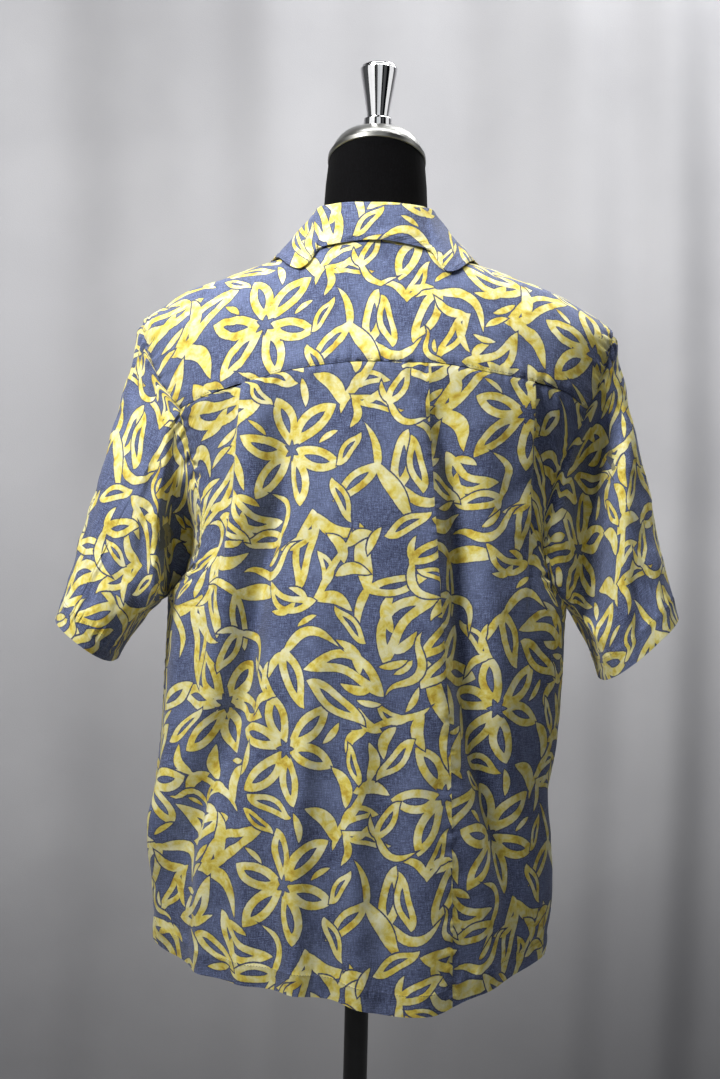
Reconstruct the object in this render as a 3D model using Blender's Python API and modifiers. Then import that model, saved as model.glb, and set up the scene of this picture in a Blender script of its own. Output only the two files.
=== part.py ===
"""A short-sleeved hawaiian shirt on a limbless dress form with its stand.

Metres, +Z up.  The shirt's front faces -Y, and the wearer's left is +X.  The
origin is on the floor under the middle of the stand's foot.

The torso of the shirt follows one smooth body surface, cut into panels:
horizontal sections of half width and half depth read from BODY, which close
over the shoulders like the top of a bust.  Below the arms a panel's rows run
level round the body.  Over the shoulders a point is given by its distance
from the middle and by its angle over the shoulder ridge, 0 on the ridge,
positive behind it and negative in front.
"""
import math

import bmesh
import bpy
import numpy as np
from mathutils import Vector

# --- cloth -----------------------------------------------------------------
CLOTH = 0.0015            # thickness of a cloth wall
SEAM_GAP = 0.0003         # between two pieces that are sewn together
YOKE_GAP = 0.0009         # between the back's gathered top and the yoke
LAYER = 0.0021            # from the middle of one cloth layer to the next one on it
FRONT_LAYER = 0.0030      # the same where the left front laps over the right one

# --- heights on the garment ------------------------------------------------
UNDERARM_Z = 1.038        # lowest point of the armholes, at the side seams
NECKLINE_Z = 1.404        # neckline round the back of the neck
RIDGE_BASE_Z = 1.200      # angles over the shoulder are measured above this level
NECK_APEX_Z = 1.520       # where the ridge of the shoulders would meet over the neck
BREAK_Z = 1.262           # where the lapels start to roll, just above the top button
GORGE_Z = 1.345           # lower end of the collar's seam on the fronts

# --- plan of the garment ---------------------------------------------------
SECTION_POWER = 2.2       # 2 is an ellipse, more is boxier
SHOULDER_SEAM_ANGLE = math.radians(-14)     # in front of the ridge
NECK_POINT_X = 0.0715     # inner end of the shoulder seams
GORGE_X = 0.045           # lower end of the collar's seam
BUTTON_STAND = 0.030      # width by which the fronts overlap
SIDES = {"left": 1.0, "right": -1.0}        # the wearer's left is +X

# Half sizes of the body surface at a height.
BODY_COLUMNS = ("z", "left", "right", "back", "front")
BODY = (
    (0.630, 0.203, 0.186, 0.162, 0.151),
    (0.690, 0.210, 0.195, 0.159, 0.149),
    (0.742, 0.214, 0.199, 0.157, 0.148),
    (0.795, 0.221, 0.196, 0.155, 0.147),
    (0.842, 0.216, 0.192, 0.153, 0.146),
    (0.900, 0.211, 0.201, 0.150, 0.144),
    (0.960, 0.209, 0.206, 0.147, 0.141),
    (1.036, 0.206, 0.208, 0.142, 0.137),
    (1.070, 0.197, 0.202, 0.139, 0.136),
    (1.100, 0.191, 0.198, 0.137, 0.134),
    (1.150, 0.194, 0.203, 0.133, 0.130),
    (1.200, 0.210, 0.220, 0.128, 0.123),
    (1.250, 0.234, 0.243, 0.121, 0.112),
    (1.285, 0.243, 0.253, 0.114, 0.102),
    (1.308, 0.245, 0.256, 0.108, 0.094),
    (1.329, 0.229, 0.240, 0.102, 0.086),
    (1.351, 0.197, 0.207, 0.095, 0.077),
    (1.366, 0.160, 0.170, 0.090, 0.071),
    (1.383, 0.112, 0.118, 0.084, 0.064),
    (1.392, 0.091, 0.092, 0.081, 0.061),
    (1.404, 0.073, 0.073, 0.077, 0.057),
    (1.425, 0.063, 0.063, 0.070, 0.052),
    (1.445, 0.057, 0.057, 0.066, 0.050),
)

# Seams and edges of the back, by distance from the middle.
YOKE_SEAM_COLUMNS = ("x", "z")
YOKE_SEAM = (
    (-0.220, 1.237), (-0.194, 1.253), (-0.160, 1.261), (-0.115, 1.268), (-0.060, 1.275),
    (0.000, 1.275), (0.070, 1.267), (0.130, 1.251), (0.169, 1.238), (0.193, 1.227),
)
HEM_BACK_COLUMNS = ("x", "z")
HEM_BACK = (
    (-0.192, 0.677), (-0.160, 0.664), (-0.110, 0.654), (-0.070, 0.642), (-0.045, 0.641),
    (0.000, 0.648), (0.030, 0.657), (0.070, 0.661), (0.150, 0.666), (0.190, 0.673),
    (0.208, 0.690),
)
HEM_FRONT_Z = 0.664       # level hem across the fronts

# Edge of the armholes: distance from the middle at a height, up the back and
# up the front, and at an angle over the shoulder on the yoke.
ARMHOLE_COLUMNS = ("z", "back_left", "back_right", "front_left", "front_right")
ARMHOLE = (
    (1.0395, 0.203, 0.205, 0.2025, 0.2045),
    (1.046, 0.196, 0.1985, 0.195, 0.1975),
    (1.058, 0.184, 0.188, 0.182, 0.186),
    (1.073, 0.174, 0.181, 0.171, 0.178),
    (1.095, 0.1685, 0.1775, 0.165, 0.173),
    (1.120, 0.169, 0.179, 0.165, 0.174),
    (1.150, 0.174, 0.1855, 0.170, 0.180),
    (1.180, 0.181, 0.195, 0.178, 0.190),
    (1.225, 0.1925, 0.215, 0.198, 0.213),
    (1.237, 0.196, 0.220, 0.204, 0.220),
    (1.270, 0.210, 0.230, 0.222, 0.238),
    (1.306, 0.230, 0.245, 0.240, 0.251),
)
YOKE_ARMHOLE_COLUMNS = ("degrees", "left", "right")
YOKE_ARMHOLE = (
    (-20.0, 0.2400, 0.2510),
    (0.0, 0.2405, 0.2515),
    (40.0, 0.2335, 0.2445),
    (63.0, 0.2200, 0.2340),
    (76.0, 0.2010, 0.2203),
    (80.0, 0.1930, 0.2130),
)

# --- folds of the back -----------------------------------------------------
# Knife pleats folded under the yoke: the middle of the back laps outward over
# each side.  The lap is how far the fold reaches over the cloth under it.
PLEAT_COLUMNS = ("side", "x at the top", "x at the bottom", "lap")
PLEATS = {"left": (0.128, 0.131, 0.016), "right": (0.162, 0.158, 0.016)}
PLEAT_TOP_Z = 1.262
PLEAT_CLOSED_Z = 1.140    # down to here the cloth is folded back on itself
PLEAT_END_Z = 1.075       # here the fold has run out
PLEAT_TURN = 4            # steps round each turn of a pleat
PLEAT_BLEND = 0.045       # the lapped cloth comes down to the body over this width
PLEAT_SINK = 0.75         # share of the pleat's thickness that lies inside the body

# Long soft folds of the back: the trough's place and depth at four heights.
FOLD_HEIGHTS = (1.240, 1.080, 0.920, 0.760)
FOLD_COLUMNS = ("x at each height", "depth at each height", "half width")
FOLDS = (
    ((0.086, 0.100, 0.129, 0.186), (0.000, 0.011, 0.014, 0.004), 0.026),
    ((-0.066, -0.094, -0.115, -0.153), (0.002, 0.010, 0.012, 0.009), 0.024),
    ((0.030, 0.040, 0.052, 0.060), (0.000, -0.002, -0.005, -0.006), 0.040),
    ((-0.030, -0.035, -0.050, -0.062), (0.000, -0.002, -0.004, -0.006), 0.036),
)

# --- sleeves ---------------------------------------------------------------
# The hem of a sleeve is a loop in a slanted plane, from its inner low point
# to its outer high point, and as deep as the sleeve is from front to back.
SLEEVE_COLUMNS = ("inner x", "inner z", "outer x", "outer z", "half depth")
SLEEVES = {
    "left": (0.2620, 0.9670, 0.3200, 1.0120, 0.088),
    "right": (0.2480, 0.9590, 0.3230, 1.0280, 0.081),
}
SLEEVE_POWER = 2.5        # 2 is an ellipse, more is boxier
SLEEVE_START = 0.10       # how strongly a sleeve keeps to the direction it starts in
SLEEVE_FINISH = 0.07      # and to the direction it ends in
SLEEVE_UNDERARM = (0.97, 0.0, -0.24)        # the way the cloth leaves the underarm
SLEEVE_PULL = 0.75        # how far the underarm keeps to that way
MITRE_LIMIT = 0.6        # least share of a sharp seam's mitre that its rim keeps

# --- collar and lapels -----------------------------------------------------
# Collar at fractions of its way from the middle of the back to its front end:
# where its outer edge lies on the body, and how its stand rises.
COLLAR_COLUMNS = ("fraction", "edge x", "edge degrees", "stand", "lean", "lift")
COLLAR = (
    (0.00, 0.000, 51.5, 0.0330, 0.0115, 0.0030),
    (0.20, 0.045, 42.0, 0.0330, 0.0110, 0.0030),
    (0.40, 0.083, 30.0, 0.0340, 0.0120, 0.0032),
    (0.56, 0.104, 4.0, 0.0330, 0.0140, 0.0036),
    (0.78, 0.120, -34.0, 0.0180, 0.0030, 0.0052),
    (1.00, 0.112, -52.0, 0.0050, 0.0000, 0.0062),
)
COLLAR_TURN_RADIUS = 0.0022
COLLAR_SEAM = 0.0012      # from the neckline up and in to the start of the stand
COLLAR_BULGE = 0.0030     # how far the fall rounds out between fold and edge
LAPEL_LOW_Z = 1.288       # lower end of the lapels' roll
LAPEL_COLUMNS = ("share of the roll", "width", "degrees below level")
LAPEL = ((0.0, 0.006, 4.0), (0.4, 0.030, 12.0), (0.8, 0.052, 24.0), (1.0, 0.060, 30.0))
LAPEL_LIFT = 0.0023       # from the front's middle surface to the lapel's

# --- buttons ---------------------------------------------------------------
BUTTON_COUNT = 6
BUTTON_TOP_Z = 1.244
BUTTON_PITCH = 0.094
BUTTON_RADIUS = 0.0058
BUTTON_THICKNESS = 0.0026

# --- dress form and stand --------------------------------------------------
FORM_COLUMNS = ("z", "half width", "back", "front")
FORM = (
    (0.715, 0.150, 0.096, 0.092),
    (0.724, 0.160, 0.105, 0.101),
    (0.770, 0.167, 0.111, 0.106),
    (0.845, 0.163, 0.107, 0.104),
    (0.920, 0.153, 0.098, 0.098),
    (1.000, 0.157, 0.102, 0.104),
    (1.080, 0.168, 0.110, 0.113),
    (1.160, 0.176, 0.114, 0.114),
    (1.220, 0.183, 0.114, 0.107),
    (1.270, 0.190, 0.109, 0.098),
    (1.305, 0.196, 0.103, 0.086),
    (1.328, 0.1965, 0.0975, 0.077),
    (1.342, 0.1945, 0.0930, 0.0715),
    (1.351, 0.1900, 0.0905, 0.0685),
    (1.366, 0.1530, 0.0850, 0.0615),
    (1.374, 0.1300, 0.0820, 0.0580),
    (1.383, 0.1045, 0.0785, 0.0545),
    (1.392, 0.0800, 0.0735, 0.0520),
    (1.404, 0.0615, 0.0665, 0.0505),
    (1.425, 0.0565, 0.0595, 0.0500),
    (1.445, 0.0545, 0.0560, 0.0500),
    (1.470, 0.0530, 0.0540, 0.0500),
)
FORM_SIDES = 32
NECK_RADIUS = 0.0505      # at the slanted top of the neck
NECK_DEPTH = 0.0525
NECK_TOP_Z = 1.493        # in the middle of the slanted top
NECK_SLANT = 0.335        # the top rises this much for each metre towards the back
CAP_RIM = 0.0055
CAP_OVERHANG = 0.0010
CAP_TOP_Z = 1.5310        # level seat of the finial
CAP_SEAT_RADIUS = 0.0165
FINIAL_COLUMNS = ("radius", "height above the cap")
FINIAL = (
    (0.0000, 0.0690), (0.0090, 0.0684), (0.0160, 0.0665), (0.0176, 0.0648), (0.0176, 0.0632),
    (0.0195, 0.0622), (0.0193, 0.0580), (0.0165, 0.0420), (0.0136, 0.0260), (0.0117, 0.0140),
    (0.0115, 0.0105), (0.0138, 0.0100), (0.0148, 0.0092), (0.0148, 0.0010), (0.0140, 0.0000),
    (0.0000, 0.0000),
)
POLE_RADIUS = 0.0125
BASE_RADIUS = 0.180
BASE_COLUMNS = ("radius", "height")
BASE = (
    (0.0000, 0.0420), (0.0190, 0.0420), (0.0210, 0.0400), (0.0210, 0.0180), (0.0300, 0.0130),
    (0.1500, 0.0090), (0.1780, 0.0070), (0.1800, 0.0050), (0.1800, 0.0000), (0.0000, 0.0000),
)
ROUND_STEPS = 32          # facets round a turned piece

# --- fineness of the cloth's solids ----------------------------------------
ROWS_BELOW = 9            # from hem to underarm
ROWS_ABOVE = 12           # from underarm to yoke seam or shoulder seam
ROW_RISE = 3              # rows take on the slope of the seam above them by this power
DIP = 0.008               # rows sink this much just inside the bottom of an armhole
DIP_RISE = 0.008          # most of all this far above the underarm
DIP_SPAN = 0.030          # and less with height over this distance
DIP_TURN = math.radians(14)     # angle round the body over which they sink
BACK_MIDDLE = 6           # columns from the middle of the back to a pleat
BACK_SIDE = 5             # columns from a pleat to the side seam
YOKE_ROWS = 8
SHOULDER_COLUMNS = 9      # along each shoulder seam, and across each front
NECK_COLUMNS = 12
SLEEVE_ROWS = 9
COLLAR_STATIONS = 30      # along the neckline
STAND_STEPS = 1
COLLAR_TURN_STEPS = 4
FALL_STEPS = 4
LAPEL_GRID = (6, 5)       # rows up the roll, columns out from it

FINISHES = {
    # name: (colour, roughness, metallic)
    "print": ((0.38, 0.37, 0.27, 1.0), 0.85, 0.0),
    "button": ((0.30, 0.27, 0.20, 1.0), 0.35, 0.0),
    "jersey": ((0.006, 0.006, 0.008, 1.0), 0.9, 0.0),
    "satin metal": ((0.42, 0.42, 0.40, 1.0), 0.35, 1.0),
    "chrome": ((0.80, 0.80, 0.80, 1.0), 0.08, 1.0),
    "black paint": ((0.012, 0.012, 0.013, 1.0), 0.4, 0.0),
}


# --- the body surface ------------------------------------------------------
def smooth_curve(table, column):
    """A smooth function through one column of a table, by its first column."""
    xs = np.array([row[0] for row in table], float)
    ys = np.array([row[column] for row in table], float)
    secants = np.diff(ys) / np.diff(xs)
    same_way = secants[1:] * secants[:-1] > 0
    harmonic = 2 * secants[1:] * secants[:-1] / np.where(same_way, secants[1:] + secants[:-1], 1.0)
    slopes = np.concatenate(([secants[0]], np.where(same_way, harmonic, 0.0), [secants[-1]]))

    def curve(x):
        x = np.clip(np.asarray(x, float), xs[0], xs[-1])
        i = np.clip(np.searchsorted(xs, x) - 1, 0, len(xs) - 2)
        step = xs[i + 1] - xs[i]
        t = (x - xs[i]) / step
        rise = t * t * (3 - 2 * t)
        start = t * (1 - t) ** 2 * step * slopes[i]
        end = t * t * (t - 1) * step * slopes[i + 1]
        return ys[i] * (1 - rise) + ys[i + 1] * rise + start + end

    return curve


def column_curves(table, columns):
    """One smooth function for each column after the first."""
    return {name: smooth_curve(table, i) for i, name in enumerate(columns) if i}


body = column_curves(BODY, BODY_COLUMNS)
armhole = column_curves(ARMHOLE, ARMHOLE_COLUMNS)
yoke_armhole = column_curves(YOKE_ARMHOLE, YOKE_ARMHOLE_COLUMNS)
yoke_seam = smooth_curve(YOKE_SEAM, 1)
hem_back = smooth_curve(HEM_BACK, 1)


def smoothstep(x, low, high):
    t = np.clip((np.asarray(x, float) - low) / (high - low), 0.0, 1.0)
    return t * t * (3 - 2 * t)


def half_width(x, z):
    return np.where(np.asarray(x) >= 0, body["left"](z), body["right"](z))


def half_depth(x, z, face):
    """Distance of the body surface from the XZ plane, on the back or front."""
    reach = np.clip(np.abs(x) / half_width(x, z), 0.0, 1.0)
    return body[face](z) * np.sqrt(1.0 - reach ** SECTION_POWER)


def ridge_table(side):
    """Heights of the shoulder ridge by distance from the middle."""
    heights = np.linspace(1.308, 1.445, 400)
    widths = body[side](heights)
    return np.append(widths, 0.0)[::-1], np.append(heights, NECK_APEX_Z)[::-1]


RIDGES = {side: ridge_table(side) for side in SIDES}


def ridge_z(x):
    x = np.asarray(x, float)
    left = np.interp(np.abs(x), *RIDGES["left"])
    right = np.interp(np.abs(x), *RIDGES["right"])
    return np.where(x >= 0, left, right)


def shoulder_z(x, angle):
    """Height at an angle over the shoulder ridge."""
    return RIDGE_BASE_Z + (ridge_z(x) - RIDGE_BASE_Z) * np.cos(angle)


def shoulder_angle(x, z):
    """The angle over the ridge at a height on the back."""
    return np.arccos(np.clip((z - RIDGE_BASE_Z) / (ridge_z(x) - RIDGE_BASE_Z), -1.0, 1.0))


def on_face(x, z, face):
    """Points of the body surface on its back or front."""
    sign = 1.0 if face == "back" else -1.0
    x, z = np.broadcast_arrays(np.asarray(x, float), np.asarray(z, float))
    return np.stack([x, sign * half_depth(x, z, face), z], axis=-1)


def over_shoulder(x, angle):
    """Points of the body surface by angle over the shoulder ridge."""
    x, angle = np.broadcast_arrays(np.asarray(x, float), np.asarray(angle, float))
    z = shoulder_z(x, angle)
    behind = on_face(x, z, "back")
    before = on_face(x, z, "front")
    return np.where((angle > 0)[..., None], behind, before)


def body_normals(points):
    """Outward directions of the body surface at points on it."""
    def level(p):
        x, y, z = p[..., 0], p[..., 1], p[..., 2]
        depth = np.where(y >= 0, body["back"](z), body["front"](z))
        return np.abs(x / half_width(x, z)) ** SECTION_POWER + (y / depth) ** 2

    step = 1e-5
    slopes = []
    for axis in range(3):
        shift = np.zeros(3)
        shift[axis] = step
        slopes.append(level(points + shift) - level(points - shift))
    normals = np.stack(slopes, axis=-1)
    return normals / np.linalg.norm(normals, axis=-1, keepdims=True)


def grid_normals(points, around=False):
    """Normals of a grid of points, rows by columns, by central differences."""
    if around:
        wide = np.concatenate([points[:, -1:], points, points[:, :1]], axis=1)
        across = wide[:, 2:] - wide[:, :-2]
    else:
        across = np.gradient(points, axis=1)
    up = np.gradient(points, axis=0)
    normals = np.cross(across, up)
    return normals / np.maximum(np.linalg.norm(normals, axis=-1, keepdims=True), 1e-12)


def pointing_out(normals, points, centre):
    """Turn a grid's normals round if its middle ones point to the centre."""
    row, column = points.shape[0] // 2, points.shape[1] // 2
    outward = points[row, column] - np.asarray(centre)
    return normals if np.dot(normals[row, column], outward) > 0 else -normals


# --- panels of the torso ---------------------------------------------------
def spread(start, end, count, ease=1.0):
    """Count + 1 values from start to end, closer together at the start if ease > 1."""
    return start + (end - start) * np.linspace(0.0, 1.0, count + 1) ** ease


def edge_x(z, face, side):
    """Distance of a panel's outer edge from the middle: side seam, then armhole."""
    name = face + "_" + side
    below = body[side](z)
    blend = smoothstep(z, UNDERARM_Z, ARMHOLE[0][0])
    return np.where(z <= UNDERARM_Z, below, below * (1 - blend) + armhole[name](z) * blend)


def side_rows(z_hem, z_top, rows_below, rows_above):
    """Heights of a panel's rows along its outer edge, with a row at the underarm."""
    below = spread(z_hem, UNDERARM_Z, rows_below)
    rise = (1 - np.cos(spread(0.0, math.pi, rows_above))) / 2
    return np.concatenate([below, UNDERARM_Z + (z_top - UNDERARM_Z) * rise[1:]])


def underarm_dip(z, way):
    """How far a row sinks inside the level bottom of an armhole.

    z is the row's height at the armhole, and way runs to 1 at its edge.
    """
    near = np.exp(-((z - UNDERARM_Z - DIP_RISE) / DIP_SPAN) ** 2)
    inward = np.arccos(np.clip(np.abs(way), 0.0, 1.0))
    return DIP * near * smoothstep(inward, 0.0, DIP_TURN)


def pleat_path(side, z):
    """Places and lifts of the columns across one pleat, at a height.

    The path runs from the middle outward: round the fold, back under the
    cloth it came from, and round again to go on outward.  Lower down the lap
    shortens to nothing, and then the two turns open until the cloth is flat.
    """
    x_top, x_bottom, lap = PLEATS[side]
    x_fold = x_bottom + (x_top - x_bottom) * smoothstep(z, PLEAT_END_Z, PLEAT_TOP_Z)
    reach = lap * np.clip((z - PLEAT_CLOSED_Z) / (PLEAT_TOP_Z - PLEAT_CLOSED_Z), 0.0, 1.0)
    turn = math.pi * max(0.03, float(smoothstep(z, PLEAT_END_Z, PLEAT_CLOSED_Z)))
    radius = 0.5 * LAYER * math.pi / turn
    drop = 2 * radius * (1 - math.cos(turn))
    angles = np.linspace(0.0, turn, PLEAT_TURN + 1)
    end = 2 * radius * math.sin(turn) + reach * math.cos(turn)
    out = np.concatenate([radius * np.sin(angles), end - radius * np.sin(angles[::-1])])
    rise = radius * (1 - np.cos(angles))
    lifts = np.concatenate([drop - rise, rise[::-1]]) - PLEAT_SINK * drop
    return x_fold - 0.5 * LAYER + out, lifts


def back_row(side, z, edge, middle_columns, side_columns):
    """One half row of the back, from near the middle to its outer edge."""
    places, lifts = pleat_path(side, z)
    middle = spread(0.0, places[0], middle_columns)[:-1]
    inner = smoothstep(middle, places[0] - PLEAT_BLEND, places[0]) * lifts[0]
    margin = SEAM_GAP / 0.28
    turns = spread(math.asin(places[-1] / edge), math.pi / 2 - margin, side_columns)[1:]
    outer = edge * np.sin(turns)
    fold = places[PLEAT_TURN]
    under = lifts[-1] * (1 - smoothstep(outer, fold, fold + PLEAT_BLEND))
    return np.concatenate([middle, places, outer]), np.concatenate([inner, lifts, under])


def fold_depth(x, z):
    """How far the long folds sink the cloth in, at places on the back."""
    depth = np.zeros(np.broadcast(x, z).shape)
    heights = FOLD_HEIGHTS[::-1]
    for places, depths, width in FOLDS:
        place = smooth_curve(list(zip(heights, places[::-1])), 1)(z)
        sink = smooth_curve(list(zip(heights, depths[::-1])), 1)(z)
        depth = depth + sink * np.exp(-((x - place) / width) ** 2)
    return depth * smoothstep(z, 1.262, 1.20)


def back_grid(rows_below, rows_above, middle_columns, side_columns):
    """The back's middle surface as rows of points, from hem to yoke seam."""
    corners = {"left": (HEM_BACK[-1], YOKE_SEAM[-1]), "right": (HEM_BACK[0], YOKE_SEAM[0])}
    edges = {side: side_rows(hem[1], seam[1] - YOKE_GAP / 2, rows_below, rows_above)
             for side, (hem, seam) in corners.items()}
    xs, zs, lifts = [], [], []
    for k in range(rows_below + rows_above + 1):
        halves = {}
        for side in SIDES:
            z = edges[side][k]
            edge = float(edge_x(z, "back", side))
            x, lift = back_row(side, z, edge, middle_columns, side_columns)
            way = x / x[-1]
            hem, seam = corners[side]
            halves[side] = np.stack([x * SIDES[side], lift, way * hem[0], way * seam[0]])
        x, lift, hem_x, seam_x = np.concatenate(
            [halves["right"][:, :0:-1], halves["left"]], axis=1)
        span = (x - x[0]) / (x[-1] - x[0])
        low, line, high = (edges["right"][i] + (edges["left"][i] - edges["right"][i]) * span
                           for i in (0, k, -1))
        share = (line - low) / (high - low)
        xs.append(x)
        way = np.where(x > 0, x / x[-1], x / x[0])
        zs.append(line + (hem_back(hem_x) - low) * (1 - share)
                  + (yoke_seam(seam_x) - YOKE_GAP / 2 - high) * share ** ROW_RISE
                  - underarm_dip(line, way))
        lifts.append(lift)
    xs, zs, lifts = np.array(xs), np.array(zs), np.array(lifts)
    flat = on_face(xs, zs, "back")
    outward = body_normals(flat)
    return flat + outward * (lifts - fold_depth(xs, zs))[..., None], outward


def yoke_bottom(share):
    """Distance from the middle along the yoke seam, -1 to 1 from right to left."""
    ends = {"left": YOKE_SEAM[-1][0], "right": -YOKE_SEAM[0][0]}
    return np.where(share >= 0, share * ends["left"], share * ends["right"])


def neckline(share):
    """Place and shoulder angle of the neckline, -1 to 1 from right to left."""
    turn = share * math.pi / 2
    x = float(body["left"](NECKLINE_Z)) * np.sin(turn)
    z = np.full_like(x, NECKLINE_Z)
    return x, shoulder_angle(x, z)


def yoke_grid(rows, shoulder_columns, neck_columns):
    """The yoke's middle surface, from its seam on the back to its front edges."""
    out = spread(1.0, 0.34, shoulder_columns)
    across = spread(0.34, -0.34, neck_columns)[1:-1]
    bottom = yoke_bottom(np.concatenate([-out, -across, out[::-1]]))
    ends = {"left": bottom[-1], "right": bottom[0]}
    neck_x, neck_angle = neckline(spread(1.0, -1.0, neck_columns)[1:-1])
    seam = SHOULDER_SEAM_ANGLE + SEAM_GAP / 0.2
    tips = {side: float(yoke_armhole[side](math.degrees(seam))) for side in SIDES}
    left_x = spread(tips["left"], NECK_POINT_X, shoulder_columns)
    right_x = -spread(tips["right"], NECK_POINT_X, shoulder_columns)
    top_x = np.concatenate([right_x, -neck_x, left_x[::-1]])
    seam_angles = np.full(shoulder_columns + 1, seam)
    top_angle = np.concatenate([seam_angles, neck_angle, seam_angles])
    bottom_angle = shoulder_angle(bottom, yoke_seam(bottom) + YOKE_GAP / 2)
    xs, angles = [], []
    for t in np.linspace(0.0, 1.0, rows + 1):
        angle = bottom_angle + (top_angle - bottom_angle) * t
        edge = {}
        for side, end in (("left", -1), ("right", 0)):
            curve = yoke_armhole[side]
            missing = abs(bottom[end]) - float(curve(math.degrees(bottom_angle[end])))
            width = float(curve(math.degrees(angle[end]))) + missing * (1 - t)
            edge[side] = SIDES[side] * width
        share = bottom / np.where(bottom > 0, ends["left"], ends["right"])
        top_share = top_x / np.where(top_x > 0, tips["left"], -tips["right"])
        share = share + (top_share - share) * t
        xs.append(np.where(bottom > 0, edge["left"], edge["right"]) * share)
        angles.append(angle)
    points = over_shoulder(np.array(xs), np.array(angles))
    return points, body_normals(points)


def front_lift(side, inward):
    """How far the left front lies out over the right one, near the middle."""
    if side == "right":
        return np.zeros_like(inward)
    return FRONT_LAYER * (1 - smoothstep(inward, 0.7 * BUTTON_STAND, 1.6 * BUTTON_STAND))


def front_edge_x(z):
    """The inner edge of a front: button stand, roll of the lapel, neckline."""
    overlap = -BUTTON_STAND / 2
    neck_z = shoulder_z(NECK_POINT_X, SHOULDER_SEAM_ANGLE)
    return np.interp(z, (BREAK_Z, GORGE_Z, neck_z), (overlap, GORGE_X, NECK_POINT_X))


def front_grid(side, rows_below, rows_above, columns):
    """A front's middle surface, rows from hem to shoulder, columns from the middle out."""
    sign = SIDES[side]
    seam = SHOULDER_SEAM_ANGLE - SEAM_GAP / 0.2
    tip = float(yoke_armhole[side](math.degrees(seam)))
    top_x = spread(NECK_POINT_X, tip, columns)
    top_z = shoulder_z(sign * top_x, seam)
    hem_z = (HEM_BACK[-1] if side == "left" else HEM_BACK[0])[1]
    outer_z = side_rows(hem_z, float(top_z[-1]), rows_below, rows_above)
    share = (outer_z - outer_z[0]) / (outer_z[-1] - outer_z[0])
    margin = SEAM_GAP / 0.28
    columns_share = np.linspace(0.0, 1.0, columns + 1)
    points = []
    for k, z_out in enumerate(outer_z):
        edge = float(edge_x(z_out, "front", side))
        fall, rise = 1 - share[k], share[k] ** ROW_RISE
        middle = z_out + (HEM_FRONT_Z - hem_z) * fall + (top_z[0] - top_z[-1]) * rise
        inner = float(front_edge_x(middle))
        turns = spread(math.asin(inner / edge), math.pi / 2 - margin, columns)
        round_share = (np.sin(turns) - np.sin(turns[0])) / (np.sin(turns[-1]) - np.sin(turns[0]))
        blend = smoothstep(share[k], 0.7, 1.0)
        x = inner + (edge * np.sin(turns[-1]) - inner) * (
            round_share * (1 - blend) + columns_share * blend)
        hem = HEM_FRONT_Z + (hem_z - HEM_FRONT_Z) * smoothstep(x / edge, 0.75, 1.0)
        z = z_out + (hem - hem_z) * fall + (top_z - top_z[-1]) * rise
        z = z - underarm_dip(z_out, x / x[-1])
        points.append(np.stack([sign * x, z], axis=-1))
    points = np.array(points)
    flat = on_face(points[..., 0], points[..., 1], "front")
    outward = body_normals(flat)
    lift = front_lift(side, sign * points[..., 0])
    return flat + outward * lift[..., None], outward


# --- sleeves ---------------------------------------------------------------
def armhole_ring(side, back, yoke, front, rows_below):
    """Points and normals round an armhole: up the back, over, down the front."""
    column = -1 if side == "left" else 0
    parts = []
    for which in range(2):
        up = back[which][rows_below:, column]
        over = yoke[which][1:-1, column]
        down = front[which][rows_below + 1:, -1][::-1]
        parts.append(np.concatenate([up, over, down]))
    return parts


def along(points):
    """Shares of the way along a line of points."""
    steps = np.linalg.norm(np.diff(points, axis=0), axis=-1)
    distance = np.concatenate([[0.0], np.cumsum(steps)])
    return distance / distance[-1]


def unit(vectors):
    length = np.linalg.norm(vectors, axis=-1, keepdims=True)
    return vectors / np.maximum(length, 1e-12)


def seam_mitre(side, ring, normals, leaving):
    """The shared rim of two walls round an armhole, and the way across the seam."""
    sign = SIDES[side]
    tangent = unit(np.roll(ring, -1, axis=0) - np.roll(ring, 1, axis=0))
    normals = unit(normals - tangent * np.sum(normals * tangent, axis=-1, keepdims=True))
    leaving = unit(leaving - tangent * np.sum(leaving * tangent, axis=-1, keepdims=True))
    arriving = sign * np.cross(normals, tangent)
    mitre = unit(normals + sign * np.cross(tangent, leaving))
    lean = np.maximum(np.sum(mitre * normals, axis=-1, keepdims=True), MITRE_LIMIT)
    return mitre / lean, unit(arriving + leaving)


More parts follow.
